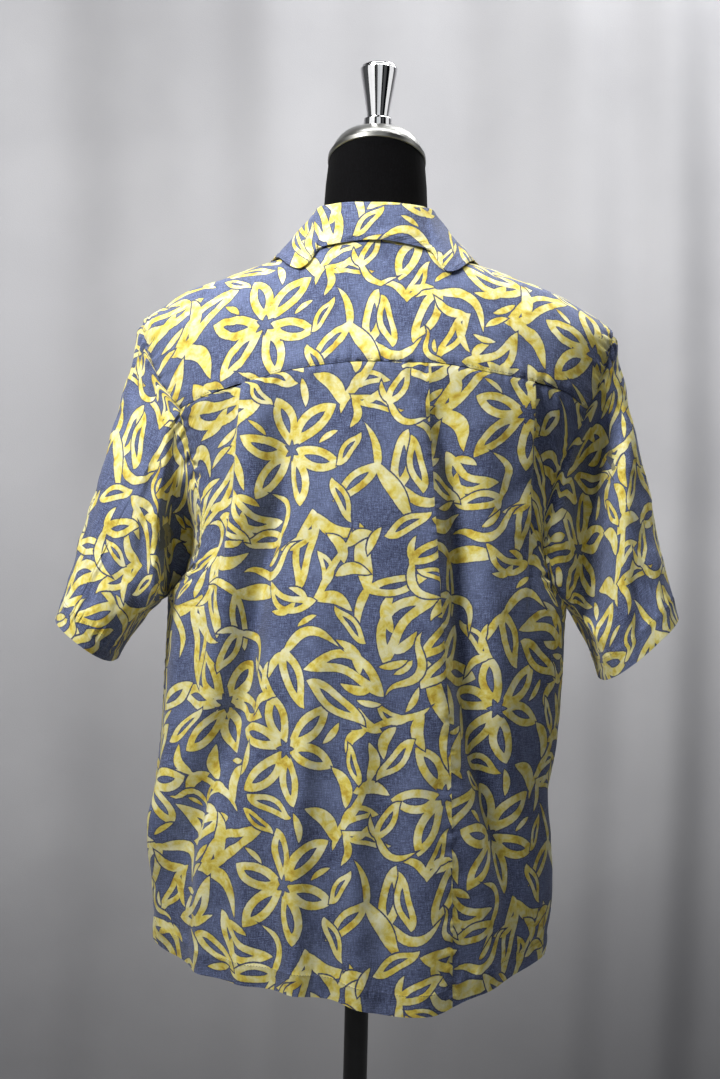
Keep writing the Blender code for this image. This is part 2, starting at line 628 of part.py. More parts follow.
def sleeve_grid(side, ring, ring_normals, over_at, rows):
    """A sleeve's middle surface, rows from armhole to hem, its normals and its mitre."""
    sign = SIDES[side]
    inner_x, inner_z, outer_x, outer_z, half_deep = SLEEVES[side]
    low = np.array([sign * inner_x, 0.0, inner_z])
    high = np.array([sign * outer_x, 0.0, outer_z])
    centre, reach = (low + high) / 2, (high - low) / 2
    up_back = along(ring[:over_at + 1]) / 2
    down_front = 0.5 + along(np.concatenate([ring[over_at:], ring[:1]])) / 2
    way = np.concatenate([up_back, down_front[1:-1]])
    angle = 2 * math.pi * way
    power = 2.0 / SLEEVE_POWER
    wide = -np.sign(np.cos(angle)) * np.abs(np.cos(angle)) ** power
    deep = np.sign(np.sin(angle)) * np.abs(np.sin(angle)) ** power
    hem = centre + wide[:, None] * reach + deep[:, None] * np.array([0.0, half_deep, 0.0])
    leave = np.array(SLEEVE_UNDERARM) * (sign, 1.0, 1.0)
    pull = (SLEEVE_PULL * np.cos(math.pi * way) ** 2)[:, None]
    first = unit(unit(hem - ring) * (1 - pull) + leave * pull)
    last = unit(centre - ring.mean(axis=0))
    mitre, across = seam_mitre(side, ring, ring_normals, first)
    start = ring + across * SEAM_GAP
    grid = []
    for t in spread(0.0, 1.0, rows, ease=1.15):
        blend = t * t * (3 - 2 * t)
        grid.append(start * (1 - blend) + hem * blend
                    + first * SLEEVE_START * t * (1 - t) ** 2
                    - last * SLEEVE_FINISH * t * t * (1 - t))
    grid = np.array(grid)
    normals = grid_normals(grid, around=True)
    normals = normals * np.sign(np.dot(normals[rows // 2, over_at], (sign, 0.0, 0.5)))
    normals[0] = mitre
    return grid, normals, mitre


def share_mitre(side, mitre, back, yoke, front, rows_below):
    """Give the panels' armhole edges the same rim directions as the sleeve's."""
    column = -1 if side == "left" else 0
    up = len(back) - rows_below
    over = up + len(yoke) - 2
    back[rows_below:, column] = mitre[:up]
    yoke[1:-1, column] = mitre[up:over]
    yoke[0, column], yoke[-1, column] = mitre[up - 1], mitre[over]
    front[rows_below + 1:, -1] = mitre[over:][::-1]
    front[rows_below, -1] = mitre[0]


# --- collar and lapels -----------------------------------------------------
def collar_line(fronts, yoke, shoulder_columns):
    """Neckline points from the left front's gorge round the back to the right's."""
    parts = []
    for side in SIDES:
        edge = fronts[side][:, 0]
        upper = edge[edge[:, 2] >= GORGE_Z - 0.008][:-1]
        parts.append(upper)
    neck = yoke[-1, shoulder_columns:-shoulder_columns][::-1]
    line = np.concatenate([parts[0], neck, parts[1][::-1]])
    ways = spread(0.0, 1.0, COLLAR_STATIONS)
    return np.stack([np.interp(ways, along(line), line[:, axis]) for axis in range(3)], axis=-1)


def collar_grid(line, stand_steps, turn_steps, fall_steps):
    """The collar's middle surface: a row at each neckline point, from seam to edge."""
    middle = int(np.argmin(np.abs(line[:, 0]) + (line[:, 1] < 0)))
    left = 1 - along(line[:middle + 1])
    right = along(line[middle:])
    fractions = np.concatenate([left, right[1:]])
    curves = column_curves(COLLAR, COLLAR_COLUMNS)
    rows = []
    for point, fraction in zip(line, fractions):
        sign = 1.0 if point[0] >= 0 else -1.0
        edge_at = over_shoulder(sign * curves["edge x"](fraction),
                                np.radians(curves["edge degrees"](fraction)))
        edge = edge_at + body_normals(edge_at) * curves["lift"](fraction)
        away = unit(np.array([point[0], point[1], 0.0]))
        start = point + np.array([0.0, 0.0, COLLAR_SEAM]) - away * COLLAR_SEAM
        top = start + np.array([0.0, 0.0, float(curves["stand"](fraction))])
        top = top - away * curves["lean"](fraction)
        rise = unit(top - start)
        out = unit(away - rise * np.dot(away, rise))
        hub = top + out * COLLAR_TURN_RADIUS
        turns = np.linspace(0.0, math.pi, turn_steps + 1)[:, None]
        turned = hub + COLLAR_TURN_RADIUS * (rise * np.sin(turns) - out * np.cos(turns))
        stand = [start + (top - start) * t for t in spread(0.0, 1.0, stand_steps)[:-1]]
        bend = (turned[-1] + edge) / 2 + out * COLLAR_BULGE
        fall = [turned[-1] * (1 - t) ** 2 + bend * 2 * t * (1 - t) + edge * t * t
                for t in spread(0.0, 1.0, fall_steps)[1:]]
        rows.append(np.concatenate([np.array(stand), turned, np.array(fall)]))
    grid = np.array(rows)
    normals = grid_normals(grid)
    fold = stand_steps + turn_steps // 2
    normals = normals * np.sign(normals[middle, fold, 2])
    return grid, normals


def lapel_grid(side, rows, columns):
    """A lapel lying out over its front from the roll."""
    sign = SIDES[side]
    curves = column_curves(LAPEL, LAPEL_COLUMNS)
    points = []
    for share in spread(0.0, 1.0, rows):
        z_roll = LAPEL_LOW_Z + (GORGE_Z - 0.003 - LAPEL_LOW_Z) * share
        x_roll = float(front_edge_x(z_roll))
        slope = math.radians(float(curves["degrees below level"](share)))
        out = spread(0.0, float(curves["width"](share)), columns)
        x = x_roll + out * math.cos(slope)
        z = z_roll - out * math.sin(slope)
        flat = on_face(sign * x, z, "front")
        lift = LAPEL_LIFT + front_lift(side, x)
        points.append(flat + body_normals(flat) * lift[:, None])
    points = np.array(points)
    normals = grid_normals(points)
    return points, normals * -np.sign(normals[rows // 2, columns // 2, 1])


# --- meshes ----------------------------------------------------------------
def make_material(part, finish):
    colour, roughness, metallic = FINISHES[finish]
    material = bpy.data.materials.new(f"{part} {finish}")
    material.use_nodes = True
    shader = material.node_tree.nodes["Principled BSDF"]
    shader.inputs["Base Color"].default_value = colour
    shader.inputs["Roughness"].default_value = roughness
    shader.inputs["Metallic"].default_value = metallic
    material.diffuse_color = colour
    return material


def add_object(name, mesh, finish, collection):
    mesh.materials.append(make_material(name, finish))
    mesh.shade_smooth()
    mesh.set_sharp_from_angle(angle=math.radians(40))
    part = bpy.data.objects.new(name, mesh)
    collection.objects.link(part)
    return part


def mesh_from(name, points, faces):
    """A mesh of loose points and faces, with its faces turned to point out."""
    mesh = bpy.data.meshes.new(name)
    mesh.from_pydata([tuple(p) for p in points], [], faces)
    shape = bmesh.new()
    shape.from_mesh(mesh)
    bmesh.ops.recalc_face_normals(shape, faces=shape.faces)
    shape.to_mesh(mesh)
    shape.free()
    return mesh


def wall_mesh(name, middle, normals, thickness, around=False):
    """A closed wall about a grid of points, half its thickness to each side.

    Its rims are split into triangles alike, so those of two pieces that run
    the same way along a seam match.
    """
    rows, columns = middle.shape[:2]
    half = normals * (thickness / 2)
    points = np.concatenate([(middle + half).reshape(-1, 3), (middle - half).reshape(-1, 3)])
    inside = rows * columns
    wrap = columns if around else columns - 1

    def at(i, j, layer):
        return layer * inside + i * columns + j % columns

    faces = []
    for i in range(rows - 1):
        for j in range(wrap):
            for layer in (0, 1):
                quad = [at(i, j, layer), at(i, j + 1, layer),
                        at(i + 1, j + 1, layer), at(i + 1, j, layer)]
                faces.append(quad if layer == 0 else quad[:1] + quad[:0:-1])
    steps = [((i, j), (i, j + 1)) for i in (0, rows - 1) for j in range(wrap)]
    if not around:
        steps += [((i, j), (i + 1, j)) for j in (0, columns - 1) for i in range(rows - 1)]
    for start, end in steps:
        faces.append([at(*end, 0), at(*start, 0), at(*start, 1)])
        faces.append([at(*end, 0), at(*start, 1), at(*end, 1)])
    return mesh_from(name, points, faces)


def stacked_rings(name, rings):
    """A solid through closed rings of points, with flat ends."""
    count = len(rings[0])
    points = np.concatenate(rings)
    faces = [list(range(count)), list(range(len(points) - count, len(points)))]
    for k in range(len(rings) - 1):
        for j in range(count):
            low, high = k * count, (k + 1) * count
            step = (j + 1) % count
            faces.append([low + j, low + step, high + step, high + j])
    return mesh_from(name, points, faces)


def turned(name, profile, height, finish, collection):
    """A turned piece: its profile, radius and height, runs from top to bottom."""
    mesh = bpy.data.meshes.new(name)
    points = [(radius, 0.0, z) for radius, z in profile]
    edges = [(i, i + 1) for i in range(len(points) - 1)]
    mesh.from_pydata(points, edges, [])
    part = add_object(name, mesh, finish, collection)
    part.location = (0.0, 0.0, height)
    screw = part.modifiers.new("Turn", "SCREW")
    screw.steps = ROUND_STEPS
    screw.render_steps = ROUND_STEPS
    screw.use_merge_vertices = True
    screw.merge_threshold = 0.00005
    return part


# --- the dress form --------------------------------------------------------
def form_rings():
    """Rings of the form's torso and neck, from its flat foot to the slanted neck top."""
    angles = np.linspace(0.0, 2 * math.pi, FORM_SIDES, endpoint=False)
    cosine, sine = np.cos(angles), np.sin(angles)
    deep = np.sign(sine) * np.sqrt(1 - np.abs(cosine) ** SECTION_POWER)
    rings = []
    for z, half, behind, before in FORM:
        y = np.where(sine >= 0, behind, before) * deep
        rings.append(np.stack([half * cosine, y, np.full_like(y, z)], axis=-1))
    x, y = NECK_RADIUS * cosine, NECK_DEPTH * sine
    rings.append(np.stack([x, y, NECK_TOP_Z + NECK_SLANT * y], axis=-1))
    return rings


def cap_rings():
    """Rings of the cap, from its slanted rim up to the level seat of the finial."""
    angles = np.linspace(0.0, 2 * math.pi, FORM_SIDES, endpoint=False)
    cosine, sine = np.cos(angles), np.sin(angles)
    wide, deep = NECK_RADIUS + CAP_OVERHANG, NECK_DEPTH + CAP_OVERHANG
    rings = []
    for thick in (SEAM_GAP, CAP_RIM):
        y = deep * sine
        rings.append(np.stack([wide * cosine, y, NECK_TOP_Z + NECK_SLANT * y + thick], axis=-1))
    for step in np.linspace(0.0, math.pi / 2, 7)[1:]:
        share = math.cos(step)
        x = (CAP_SEAT_RADIUS + (wide - CAP_SEAT_RADIUS) * share) * cosine
        y = (CAP_SEAT_RADIUS + (deep - CAP_SEAT_RADIUS) * share) * sine
        rise = math.sin(step) ** 1.4
        z = rings[1][:, 2] + (CAP_TOP_Z - rings[1][:, 2]) * rise
        rings.append(np.stack([x, y, z], axis=-1))
    return rings


def adopt(part, name, finish, collection):
    """Name a new primitive, give it its material and move it to the collection."""
    part.name = name
    part.data.materials.append(make_material(name, finish))
    for owner in list(part.users_collection):
        owner.objects.unlink(part)
    collection.objects.link(part)


def add_button(index, collection):
    """One button on the button stand, facing out from the cloth."""
    z = BUTTON_TOP_Z - BUTTON_PITCH * index
    seat = on_face(0.0, z, "front")
    normal = body_normals(seat)
    proud = FRONT_LAYER + CLOTH / 2 + SEAM_GAP + BUTTON_THICKNESS / 2
    bpy.ops.mesh.primitive_cylinder_add(vertices=20, radius=BUTTON_RADIUS, depth=BUTTON_THICKNESS)
    button = bpy.context.active_object
    adopt(button, f"button_{index + 1}", "button", collection)
    button.location = seat + normal * proud
    button.rotation_mode = "QUATERNION"
    button.rotation_quaternion = Vector(normal).to_track_quat("Z", "Y")
    rim = button.modifiers.new("Rim", "BEVEL")
    rim.width = 0.0005
    rim.segments = 1


def build_cloth(collection):
    """Every piece of the shirt but its buttons."""
    back, back_out = back_grid(ROWS_BELOW, ROWS_ABOVE, BACK_MIDDLE, BACK_SIDE)
    yoke, yoke_out = yoke_grid(YOKE_ROWS, SHOULDER_COLUMNS, NECK_COLUMNS)
    back_normals = pointing_out(grid_normals(back), back, (0.0, 0.0, 1.0))
    back_normals[:, 0], back_normals[:, -1] = back_out[:, 0], back_out[:, -1]
    fronts, front_normals, sleeves = {}, {}, {}
    over_at = ROWS_ABOVE + YOKE_ROWS - 1
    for side in SIDES:
        front, normals = front_grid(side, ROWS_BELOW, ROWS_ABOVE, SHOULDER_COLUMNS)
        ring, ring_normals = armhole_ring(
            side, (back, back_normals), (yoke, yoke_out), (front, normals), ROWS_BELOW)
        sleeve, sleeve_normals, mitre = sleeve_grid(
            side, ring, ring_normals, over_at, SLEEVE_ROWS)
        share_mitre(side, mitre, back_normals, yoke_out, normals, ROWS_BELOW)
        fronts[side], front_normals[side] = front, normals
        sleeves[side] = (sleeve, sleeve_normals)
    add_object("back", wall_mesh("back", back, back_normals, CLOTH), "print", collection)
    add_object("yoke", wall_mesh("yoke", yoke, yoke_out, CLOTH), "print", collection)
    for side in SIDES:
        name = "front_" + side
        mesh = wall_mesh(name, fronts[side][::-1], front_normals[side][::-1], CLOTH)
        add_object(name, mesh, "print", collection)
        name = "sleeve_" + side
        mesh = wall_mesh(name, *sleeves[side], CLOTH, around=True)
        add_object(name, mesh, "print", collection)
        name = "lapel_" + side
        add_object(name, wall_mesh(name, *lapel_grid(side, *LAPEL_GRID), CLOTH), "print", collection)
    line = collar_line(fronts, yoke, SHOULDER_COLUMNS)
    collar = collar_grid(line, STAND_STEPS, COLLAR_TURN_STEPS, FALL_STEPS)
    add_object("collar", wall_mesh("collar", *collar, CLOTH), "print", collection)


def build_form(collection):
    """The limbless form, its cap and finial, the pole and the foot."""
    torso = stacked_rings("form_torso", form_rings())
    add_object("form_torso", torso, "jersey", collection)
    cap = stacked_rings("neck_cap", cap_rings())
    add_object("neck_cap", cap, "satin metal", collection)
    turned("finial", FINIAL, CAP_TOP_Z + SEAM_GAP, "chrome", collection)
    low = BASE[0][1] + SEAM_GAP
    high = FORM[0][0] - SEAM_GAP
    bpy.ops.mesh.primitive_cylinder_add(
        vertices=ROUND_STEPS, radius=POLE_RADIUS, depth=high - low,
        location=(0.0, 0.0, (high + low) / 2))
    adopt(bpy.context.active_object, "pole", "black paint", collection)
    turned("base", BASE, 0.0, "black paint", collection)


def main():
    for old in list(bpy.data.objects):
        bpy.data.objects.remove(old)
    collection = bpy.data.collections.new("Hawaiian shirt on dress form")
    bpy.context.scene.collection.children.link(collection)
    build_cloth(collection)
    for index in range(BUTTON_COUNT):
        add_button(index, collection)
    build_form(collection)


main()
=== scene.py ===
import math
import random

import bmesh
import bpy
import numpy as np
from bpy.props import FloatProperty, FloatVectorProperty, PointerProperty
from mathutils import Matrix, Vector


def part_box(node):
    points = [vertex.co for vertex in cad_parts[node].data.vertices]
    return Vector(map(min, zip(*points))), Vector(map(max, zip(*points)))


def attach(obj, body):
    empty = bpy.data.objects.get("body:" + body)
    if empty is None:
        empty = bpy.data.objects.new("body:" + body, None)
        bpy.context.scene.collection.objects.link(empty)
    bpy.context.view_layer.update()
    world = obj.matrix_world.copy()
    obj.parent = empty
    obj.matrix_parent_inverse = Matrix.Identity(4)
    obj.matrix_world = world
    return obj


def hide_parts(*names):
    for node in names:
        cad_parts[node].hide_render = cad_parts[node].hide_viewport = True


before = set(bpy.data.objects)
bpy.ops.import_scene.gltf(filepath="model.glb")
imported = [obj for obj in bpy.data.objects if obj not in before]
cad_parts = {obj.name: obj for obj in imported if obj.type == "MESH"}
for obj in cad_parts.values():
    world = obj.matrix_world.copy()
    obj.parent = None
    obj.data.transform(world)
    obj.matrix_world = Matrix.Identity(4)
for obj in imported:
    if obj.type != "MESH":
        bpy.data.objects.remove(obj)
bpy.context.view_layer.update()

bl_info = {
    "name": "Hawaiian shirt on a dress form",
    "version": (1, 0, 0),
    "blender": (4, 5, 0),
    "location": "View3D > Sidebar > Shirt",
    "description": "Sews a camp-collar hawaiian shirt and sets it on a dress form with its stand",
    "category": "Object",
}

BODY_NAME = "root"

# --- cutting tables --------------------------------------------------------
# Metres, +Z up.  The shirt's front faces -Y, and the wearer's left is +X.
SEAM_GAP = 0.0003         # between two pieces that are sewn together
YOKE_GAP = 0.0009         # between the back's gathered top and the yoke
LAYER = 0.0021            # from the middle of one cloth layer to the next one on it
FRONT_LAYER = 0.0030      # the same where the left front laps over the right one
SIDE_SEAM_DEPTH = 0.28    # body from back to front at the side seams: a gap becomes an angle
SHOULDER_DEPTH = 0.20     # the same at the shoulder seams

UNDERARM_Z = 1.038        # lowest point of the armholes, at the side seams
NECKLINE_Z = 1.404        # neckline round the back of the neck
RIDGE_BASE_Z = 1.200      # angles over the shoulder are measured above this level
RIDGE_END_Z = 1.308       # outer end of the ridge, where the shoulders are widest
RIDGE_STEPS = 400         # heights at which the ridge is worked out
NECK_APEX_Z = 1.520       # where the ridge of the shoulders would meet over the neck
BREAK_Z = 1.262           # where the lapels start to roll, just above the top button
GORGE_Z = 1.345           # lower end of the collar's seam on the fronts

SECTION_POWER = 2.2       # 2 is an ellipse, more is boxier
SHOULDER_SEAM_ANGLE = math.radians(-14)     # in front of the ridge
NECK_POINT_X = 0.0715     # inner end of the shoulder seams
GORGE_X = 0.045           # lower end of the collar's seam
BUTTON_STAND = 0.030      # width by which the fronts overlap
STAND_LIFT = (0.7, 1.6)   # the upper front comes down over this share of that width
SIDES = {"left": 1.0, "right": -1.0}        # the wearer's left is +X

# Half sizes of the body surface at a height.
BODY_COLUMNS = ("z", "left", "right", "back", "front")
BODY = (
    (0.630, 0.203, 0.186, 0.162, 0.151),
    (0.690, 0.210, 0.195, 0.159, 0.149),
    (0.742, 0.214, 0.199, 0.157, 0.148),
    (0.795, 0.221, 0.196, 0.155, 0.147),
    (0.842, 0.216, 0.192, 0.153, 0.146),
    (0.900, 0.211, 0.201, 0.150, 0.144),
    (0.960, 0.209, 0.206, 0.147, 0.141),
    (1.036, 0.206, 0.208, 0.142, 0.137),
    (1.070, 0.197, 0.202, 0.139, 0.136),
    (1.100, 0.191, 0.198, 0.137, 0.134),
    (1.150, 0.194, 0.203, 0.133, 0.130),
    (1.200, 0.210, 0.220, 0.128, 0.123),
    (1.250, 0.234, 0.243, 0.121, 0.112),
    (1.285, 0.243, 0.253, 0.114, 0.102),
    (1.308, 0.245, 0.256, 0.108, 0.094),
    (1.329, 0.229, 0.240, 0.102, 0.086),
    (1.351, 0.197, 0.207, 0.095, 0.077),
    (1.366, 0.160, 0.170, 0.090, 0.071),
    (1.383, 0.112, 0.118, 0.084, 0.064),
    (1.392, 0.091, 0.092, 0.081, 0.061),
    (1.404, 0.073, 0.073, 0.077, 0.057),
    (1.425, 0.063, 0.063, 0.070, 0.052),
    (1.445, 0.057, 0.057, 0.066, 0.050),
)

# The yoke's seam and the hem of the back: height by distance from the middle.
YOKE_SEAM = (
    (-0.220, 1.237), (-0.194, 1.253), (-0.160, 1.261), (-0.115, 1.268), (-0.060, 1.275),
    (0.000, 1.275), (0.070, 1.267), (0.130, 1.251), (0.169, 1.238), (0.193, 1.227),
)
HEM_BACK = (
    (-0.192, 0.677), (-0.160, 0.664), (-0.110, 0.654), (-0.070, 0.642), (-0.045, 0.641),
    (0.000, 0.648), (0.030, 0.657), (0.070, 0.661), (0.150, 0.666), (0.190, 0.673),
    (0.208, 0.690),
)
HEM_FRONT_Z = 0.664       # level hem across the fronts
HEM_FRONT_LEVEL = 0.75    # over this share of a front's width

# Edge of the armholes: distance from the middle at a height, up the back and
# up the front, and at an angle over the shoulder on the yoke.
ARMHOLE_COLUMNS = ("z", "back_left", "back_right", "front_left", "front_right")
ARMHOLE = (
    (1.0395, 0.203, 0.205, 0.2025, 0.2045),
    (1.046, 0.196, 0.1985, 0.195, 0.1975),
    (1.058, 0.184, 0.188, 0.182, 0.186),
    (1.073, 0.174, 0.181, 0.171, 0.178),
    (1.095, 0.1685, 0.1775, 0.165, 0.173),
    (1.120, 0.169, 0.179, 0.165, 0.174),
    (1.150, 0.174, 0.1855, 0.170, 0.180),
    (1.180, 0.181, 0.195, 0.178, 0.190),
    (1.225, 0.1925, 0.215, 0.198, 0.213),
    (1.237, 0.196, 0.220, 0.204, 0.220),
    (1.270, 0.210, 0.230, 0.222, 0.238),
    (1.306, 0.230, 0.245, 0.240, 0.251),
)
YOKE_ARMHOLE_COLUMNS = ("degrees", "left", "right")
YOKE_ARMHOLE = (
    (-20.0, 0.2400, 0.2510),
    (0.0, 0.2405, 0.2515),
    (40.0, 0.2335, 0.2445),
    (63.0, 0.2200, 0.2340),
    (76.0, 0.2010, 0.2203),
    (80.0, 0.1930, 0.2130),
)

# --- folds of the back -----------------------------------------------------
# Knife pleats folded under the yoke: the middle of the back laps outward over
# each side.  For each: the fold's distance from the middle at the top and at the
# bottom, and how far it reaches over the cloth under it.
PLEATS = {"left": (0.128, 0.131, 0.016), "right": (0.162, 0.158, 0.016)}
PLEAT_TOP_Z = 1.262
PLEAT_CLOSED_Z = 1.140    # down to here the cloth is folded back on itself
PLEAT_END_Z = 1.075       # here the fold has run out
PLEAT_BLEND = 0.045       # the lapped cloth comes down to the body over this width
PLEAT_SINK = 0.75         # share of the pleat's thickness that lies inside the body
PLEAT_LEAST_TURN = 0.03   # of half a turn, where the fold has run out
FOLDS_FULL_Z = 1.200      # the long folds have their whole depth from here down

# Long soft folds of the back: the trough's places and depths at four heights,
# and its half width.
FOLD_HEIGHTS = (1.240, 1.080, 0.920, 0.760)
FOLDS = (
    ((0.086, 0.100, 0.129, 0.186), (0.000, 0.011, 0.014, 0.004), 0.026),
    ((-0.066, -0.094, -0.115, -0.153), (0.002, 0.010, 0.012, 0.009), 0.024),
    ((0.030, 0.040, 0.052, 0.060), (0.000, -0.002, -0.005, -0.006), 0.040),
    ((-0.030, -0.035, -0.050, -0.062), (0.000, -0.002, -0.004, -0.006), 0.036),
)

# --- sleeves ---------------------------------------------------------------
# The hem of a sleeve is a loop in a slanted plane, from its inner low point
# (x, z) to its outer high point (x, z), with its half depth from front to back.
SLEEVES = {
    "left": (0.2620, 0.9670, 0.3200, 1.0120, 0.088),
    "right": (0.2480, 0.9590, 0.3230, 1.0280, 0.081),
}
SLEEVE_POWER = 2.5        # 2 is an ellipse, more is boxier
SLEEVE_START = 0.10       # how strongly a sleeve keeps to the direction it starts in
SLEEVE_FINISH = 0.07      # and to the direction it ends in
SLEEVE_UNDERARM = (0.97, 0.0, -0.24)        # the way the cloth leaves the underarm
SLEEVE_PULL = 0.75        # how far the underarm keeps to that way
SLEEVE_EASE = 1.15        # rows lie closer together at the armhole than at the hem
MITRE_LIMIT = 0.6         # least share of a sharp seam's mitre that its rim keeps

# --- collar and lapels -----------------------------------------------------
# Collar at fractions of its way from the middle of the back to its front end:
# where its outer edge lies on the body, and how its stand rises.
COLLAR_COLUMNS = ("fraction", "edge x", "edge degrees", "stand", "lean", "lift")
COLLAR = (
    (0.00, 0.000, 51.5, 0.0330, 0.0115, 0.0030),
    (0.20, 0.045, 42.0, 0.0330, 0.0110, 0.0030),
    (0.40, 0.083, 30.0, 0.0340, 0.0120, 0.0032),
    (0.56, 0.104, 4.0, 0.0330, 0.0140, 0.0036),
    (0.78, 0.120, -34.0, 0.0180, 0.0030, 0.0052),
    (1.00, 0.112, -52.0, 0.0050, 0.0000, 0.0062),
)
COLLAR_TURN_RADIUS = 0.0022
COLLAR_SEAM = 0.0012      # from the neckline up and in to the start of the stand
COLLAR_BULGE = 0.0030     # how far the fall rounds out between fold and edge
COLLAR_DROP = 0.008       # the collar's seam starts this far below the gorge
LAPEL_DROP = 0.003        # and the lapels end this far below it
LAPEL_LOW_Z = 1.288       # lower end of the lapels' roll
LAPEL_COLUMNS = ("share of the roll", "width", "degrees below level")
LAPEL = ((0.0, 0.006, 4.0), (0.4, 0.030, 12.0), (0.8, 0.052, 24.0), (1.0, 0.060, 30.0))
LAPEL_LIFT = 0.0023       # from the front's middle surface to the lapel's

# --- buttons ---------------------------------------------------------------
BUTTON_COUNT = 6
BUTTON_TOP_Z = 1.244
BUTTON_PITCH = 0.094
BUTTON_RADIUS = 0.0058

# --- dress form and stand --------------------------------------------------
FORM_COLUMNS = ("z", "half width", "back", "front")
FORM = (
    (0.715, 0.150, 0.096, 0.092),
    (0.724, 0.160, 0.105, 0.101),
    (0.770, 0.167, 0.111, 0.106),
    (0.845, 0.163, 0.107, 0.104),
    (0.920, 0.153, 0.098, 0.098),
    (1.000, 0.157, 0.102, 0.104),
    (1.080, 0.168, 0.110, 0.113),
    (1.160, 0.176, 0.114, 0.114),
    (1.220, 0.183, 0.114, 0.107),
    (1.270, 0.190, 0.109, 0.098),
    (1.305, 0.196, 0.103, 0.086),
    (1.328, 0.1965, 0.0975, 0.077),
    (1.342, 0.1945, 0.0930, 0.0715),
    (1.351, 0.1900, 0.0905, 0.0685),
    (1.366, 0.1530, 0.0850, 0.0615),
    (1.374, 0.1300, 0.0820, 0.0580),
    (1.383, 0.1045, 0.0785, 0.0545),
    (1.392, 0.0800, 0.0735, 0.0520),
    (1.404, 0.0615, 0.0665, 0.0505),
    (1.425, 0.0565, 0.0595, 0.0500),
    (1.445, 0.0545, 0.0560, 0.0500),
    (1.470, 0.0530, 0.0540, 0.0500),
)
NECK_RADIUS = 0.0505      # at the slanted top of the neck
NECK_DEPTH = 0.0525
NECK_TOP_Z = 1.493        # in the middle of the slanted top
NECK_SLANT = 0.335        # the top rises this much for each metre towards the back
CAP_RIM = 0.0055
CAP_OVERHANG = 0.0010
CAP_TOP_Z = 1.5310        # level seat of the finial
CAP_SEAT_RADIUS = 0.0165
FINIAL = (                # radius and height above the cap
    (0.0000, 0.0690), (0.0090, 0.0684), (0.0160, 0.0665), (0.0176, 0.0648), (0.0176, 0.0632),
    (0.0195, 0.0622), (0.0193, 0.0580), (0.0165, 0.0420), (0.0136, 0.0260), (0.0117, 0.0140),
    (0.0115, 0.0105), (0.0138, 0.0100), (0.0148, 0.0092), (0.0148, 0.0010), (0.0140, 0.0000),
    (0.0000, 0.0000),
)
POLE_RADIUS = 0.0125
BASE = (                  # radius and height
    (0.0000, 0.0420), (0.0190, 0.0420), (0.0210, 0.0400), (0.0210, 0.0180), (0.0300, 0.0130),
    (0.1500, 0.0090), (0.1780, 0.0070), (0.1800, 0.0050), (0.1800, 0.0000), (0.0000, 0.0000),
)


# --- the body surface ------------------------------------------------------
def smooth_curve(table, column):
    """A smooth function through one column of a table, by its first column."""
    xs = np.array([row[0] for row in table], float)
    ys = np.array([row[column] for row in table], float)
    secants = np.diff(ys) / np.diff(xs)
    same_way = secants[1:] * secants[:-1] > 0
    harmonic = 2 * secants[1:] * secants[:-1] / np.where(same_way, secants[1:] + secants[:-1], 1.0)
    slopes = np.concatenate(([secants[0]], np.where(same_way, harmonic, 0.0), [secants[-1]]))

    def curve(x):
        x = np.clip(np.asarray(x, float), xs[0], xs[-1])
        i = np.clip(np.searchsorted(xs, x) - 1, 0, len(xs) - 2)
        step = xs[i + 1] - xs[i]
        t = (x - xs[i]) / step
        rise = t * t * (3 - 2 * t)
        start = t * (1 - t) ** 2 * step * slopes[i]
        end = t * t * (t - 1) * step * slopes[i + 1]
        return ys[i] * (1 - rise) + ys[i + 1] * rise + start + end

    return curve


def column_curves(table, columns):
    """One smooth function for each column after the first."""
    return {name: smooth_curve(table, i) for i, name in enumerate(columns) if i}


body = column_curves(BODY, BODY_COLUMNS)
armhole = column_curves(ARMHOLE, ARMHOLE_COLUMNS)
yoke_armhole = column_curves(YOKE_ARMHOLE, YOKE_ARMHOLE_COLUMNS)
yoke_seam = smooth_curve(YOKE_SEAM, 1)
hem_back = smooth_curve(HEM_BACK, 1)


def smoothstep(x, low, high):
    t = np.clip((np.asarray(x, float) - low) / (high - low), 0.0, 1.0)
    return t * t * (3 - 2 * t)


def half_width(x, z):
    return np.where(np.asarray(x) >= 0, body["left"](z), body["right"](z))


def half_depth(x, z, face):
    """Distance of the body surface from the XZ plane, on the back or front."""
    reach = np.clip(np.abs(x) / half_width(x, z), 0.0, 1.0)
    return body[face](z) * np.sqrt(1.0 - reach ** SECTION_POWER)


def ridge_table(side):
    """Heights of the shoulder ridge by distance from the middle."""
    heights = np.linspace(RIDGE_END_Z, BODY[-1][0], RIDGE_STEPS)
    widths = body[side](heights)
    return np.append(widths, 0.0)[::-1], np.append(heights, NECK_APEX_Z)[::-1]


RIDGES = {side: ridge_table(side) for side in SIDES}


def ridge_z(x):
    x = np.asarray(x, float)
    left = np.interp(np.abs(x), *RIDGES["left"])
    right = np.interp(np.abs(x), *RIDGES["right"])
    return np.where(x >= 0, left, right)


def shoulder_z(x, angle):
    """Height at an angle over the shoulder ridge."""
    return RIDGE_BASE_Z + (ridge_z(x) - RIDGE_BASE_Z) * np.cos(angle)


def shoulder_angle(x, z):
    """The angle over the ridge at a height on the back."""
    return np.arccos(np.clip((z - RIDGE_BASE_Z) / (ridge_z(x) - RIDGE_BASE_Z), -1.0, 1.0))


def on_face(x, z, face):
    """Points of the body surface on its back or front."""
    sign = 1.0 if face == "back" else -1.0
    x, z = np.broadcast_arrays(np.asarray(x, float), np.asarray(z, float))
    return np.stack([x, sign * half_depth(x, z, face), z], axis=-1)


def over_shoulder(x, angle):
    """Points of the body surface by angle over the shoulder ridge."""
    x, angle = np.broadcast_arrays(np.asarray(x, float), np.asarray(angle, float))
    z = shoulder_z(x, angle)
    behind = on_face(x, z, "back")
    before = on_face(x, z, "front")
    return np.where((angle > 0)[..., None], behind, before)


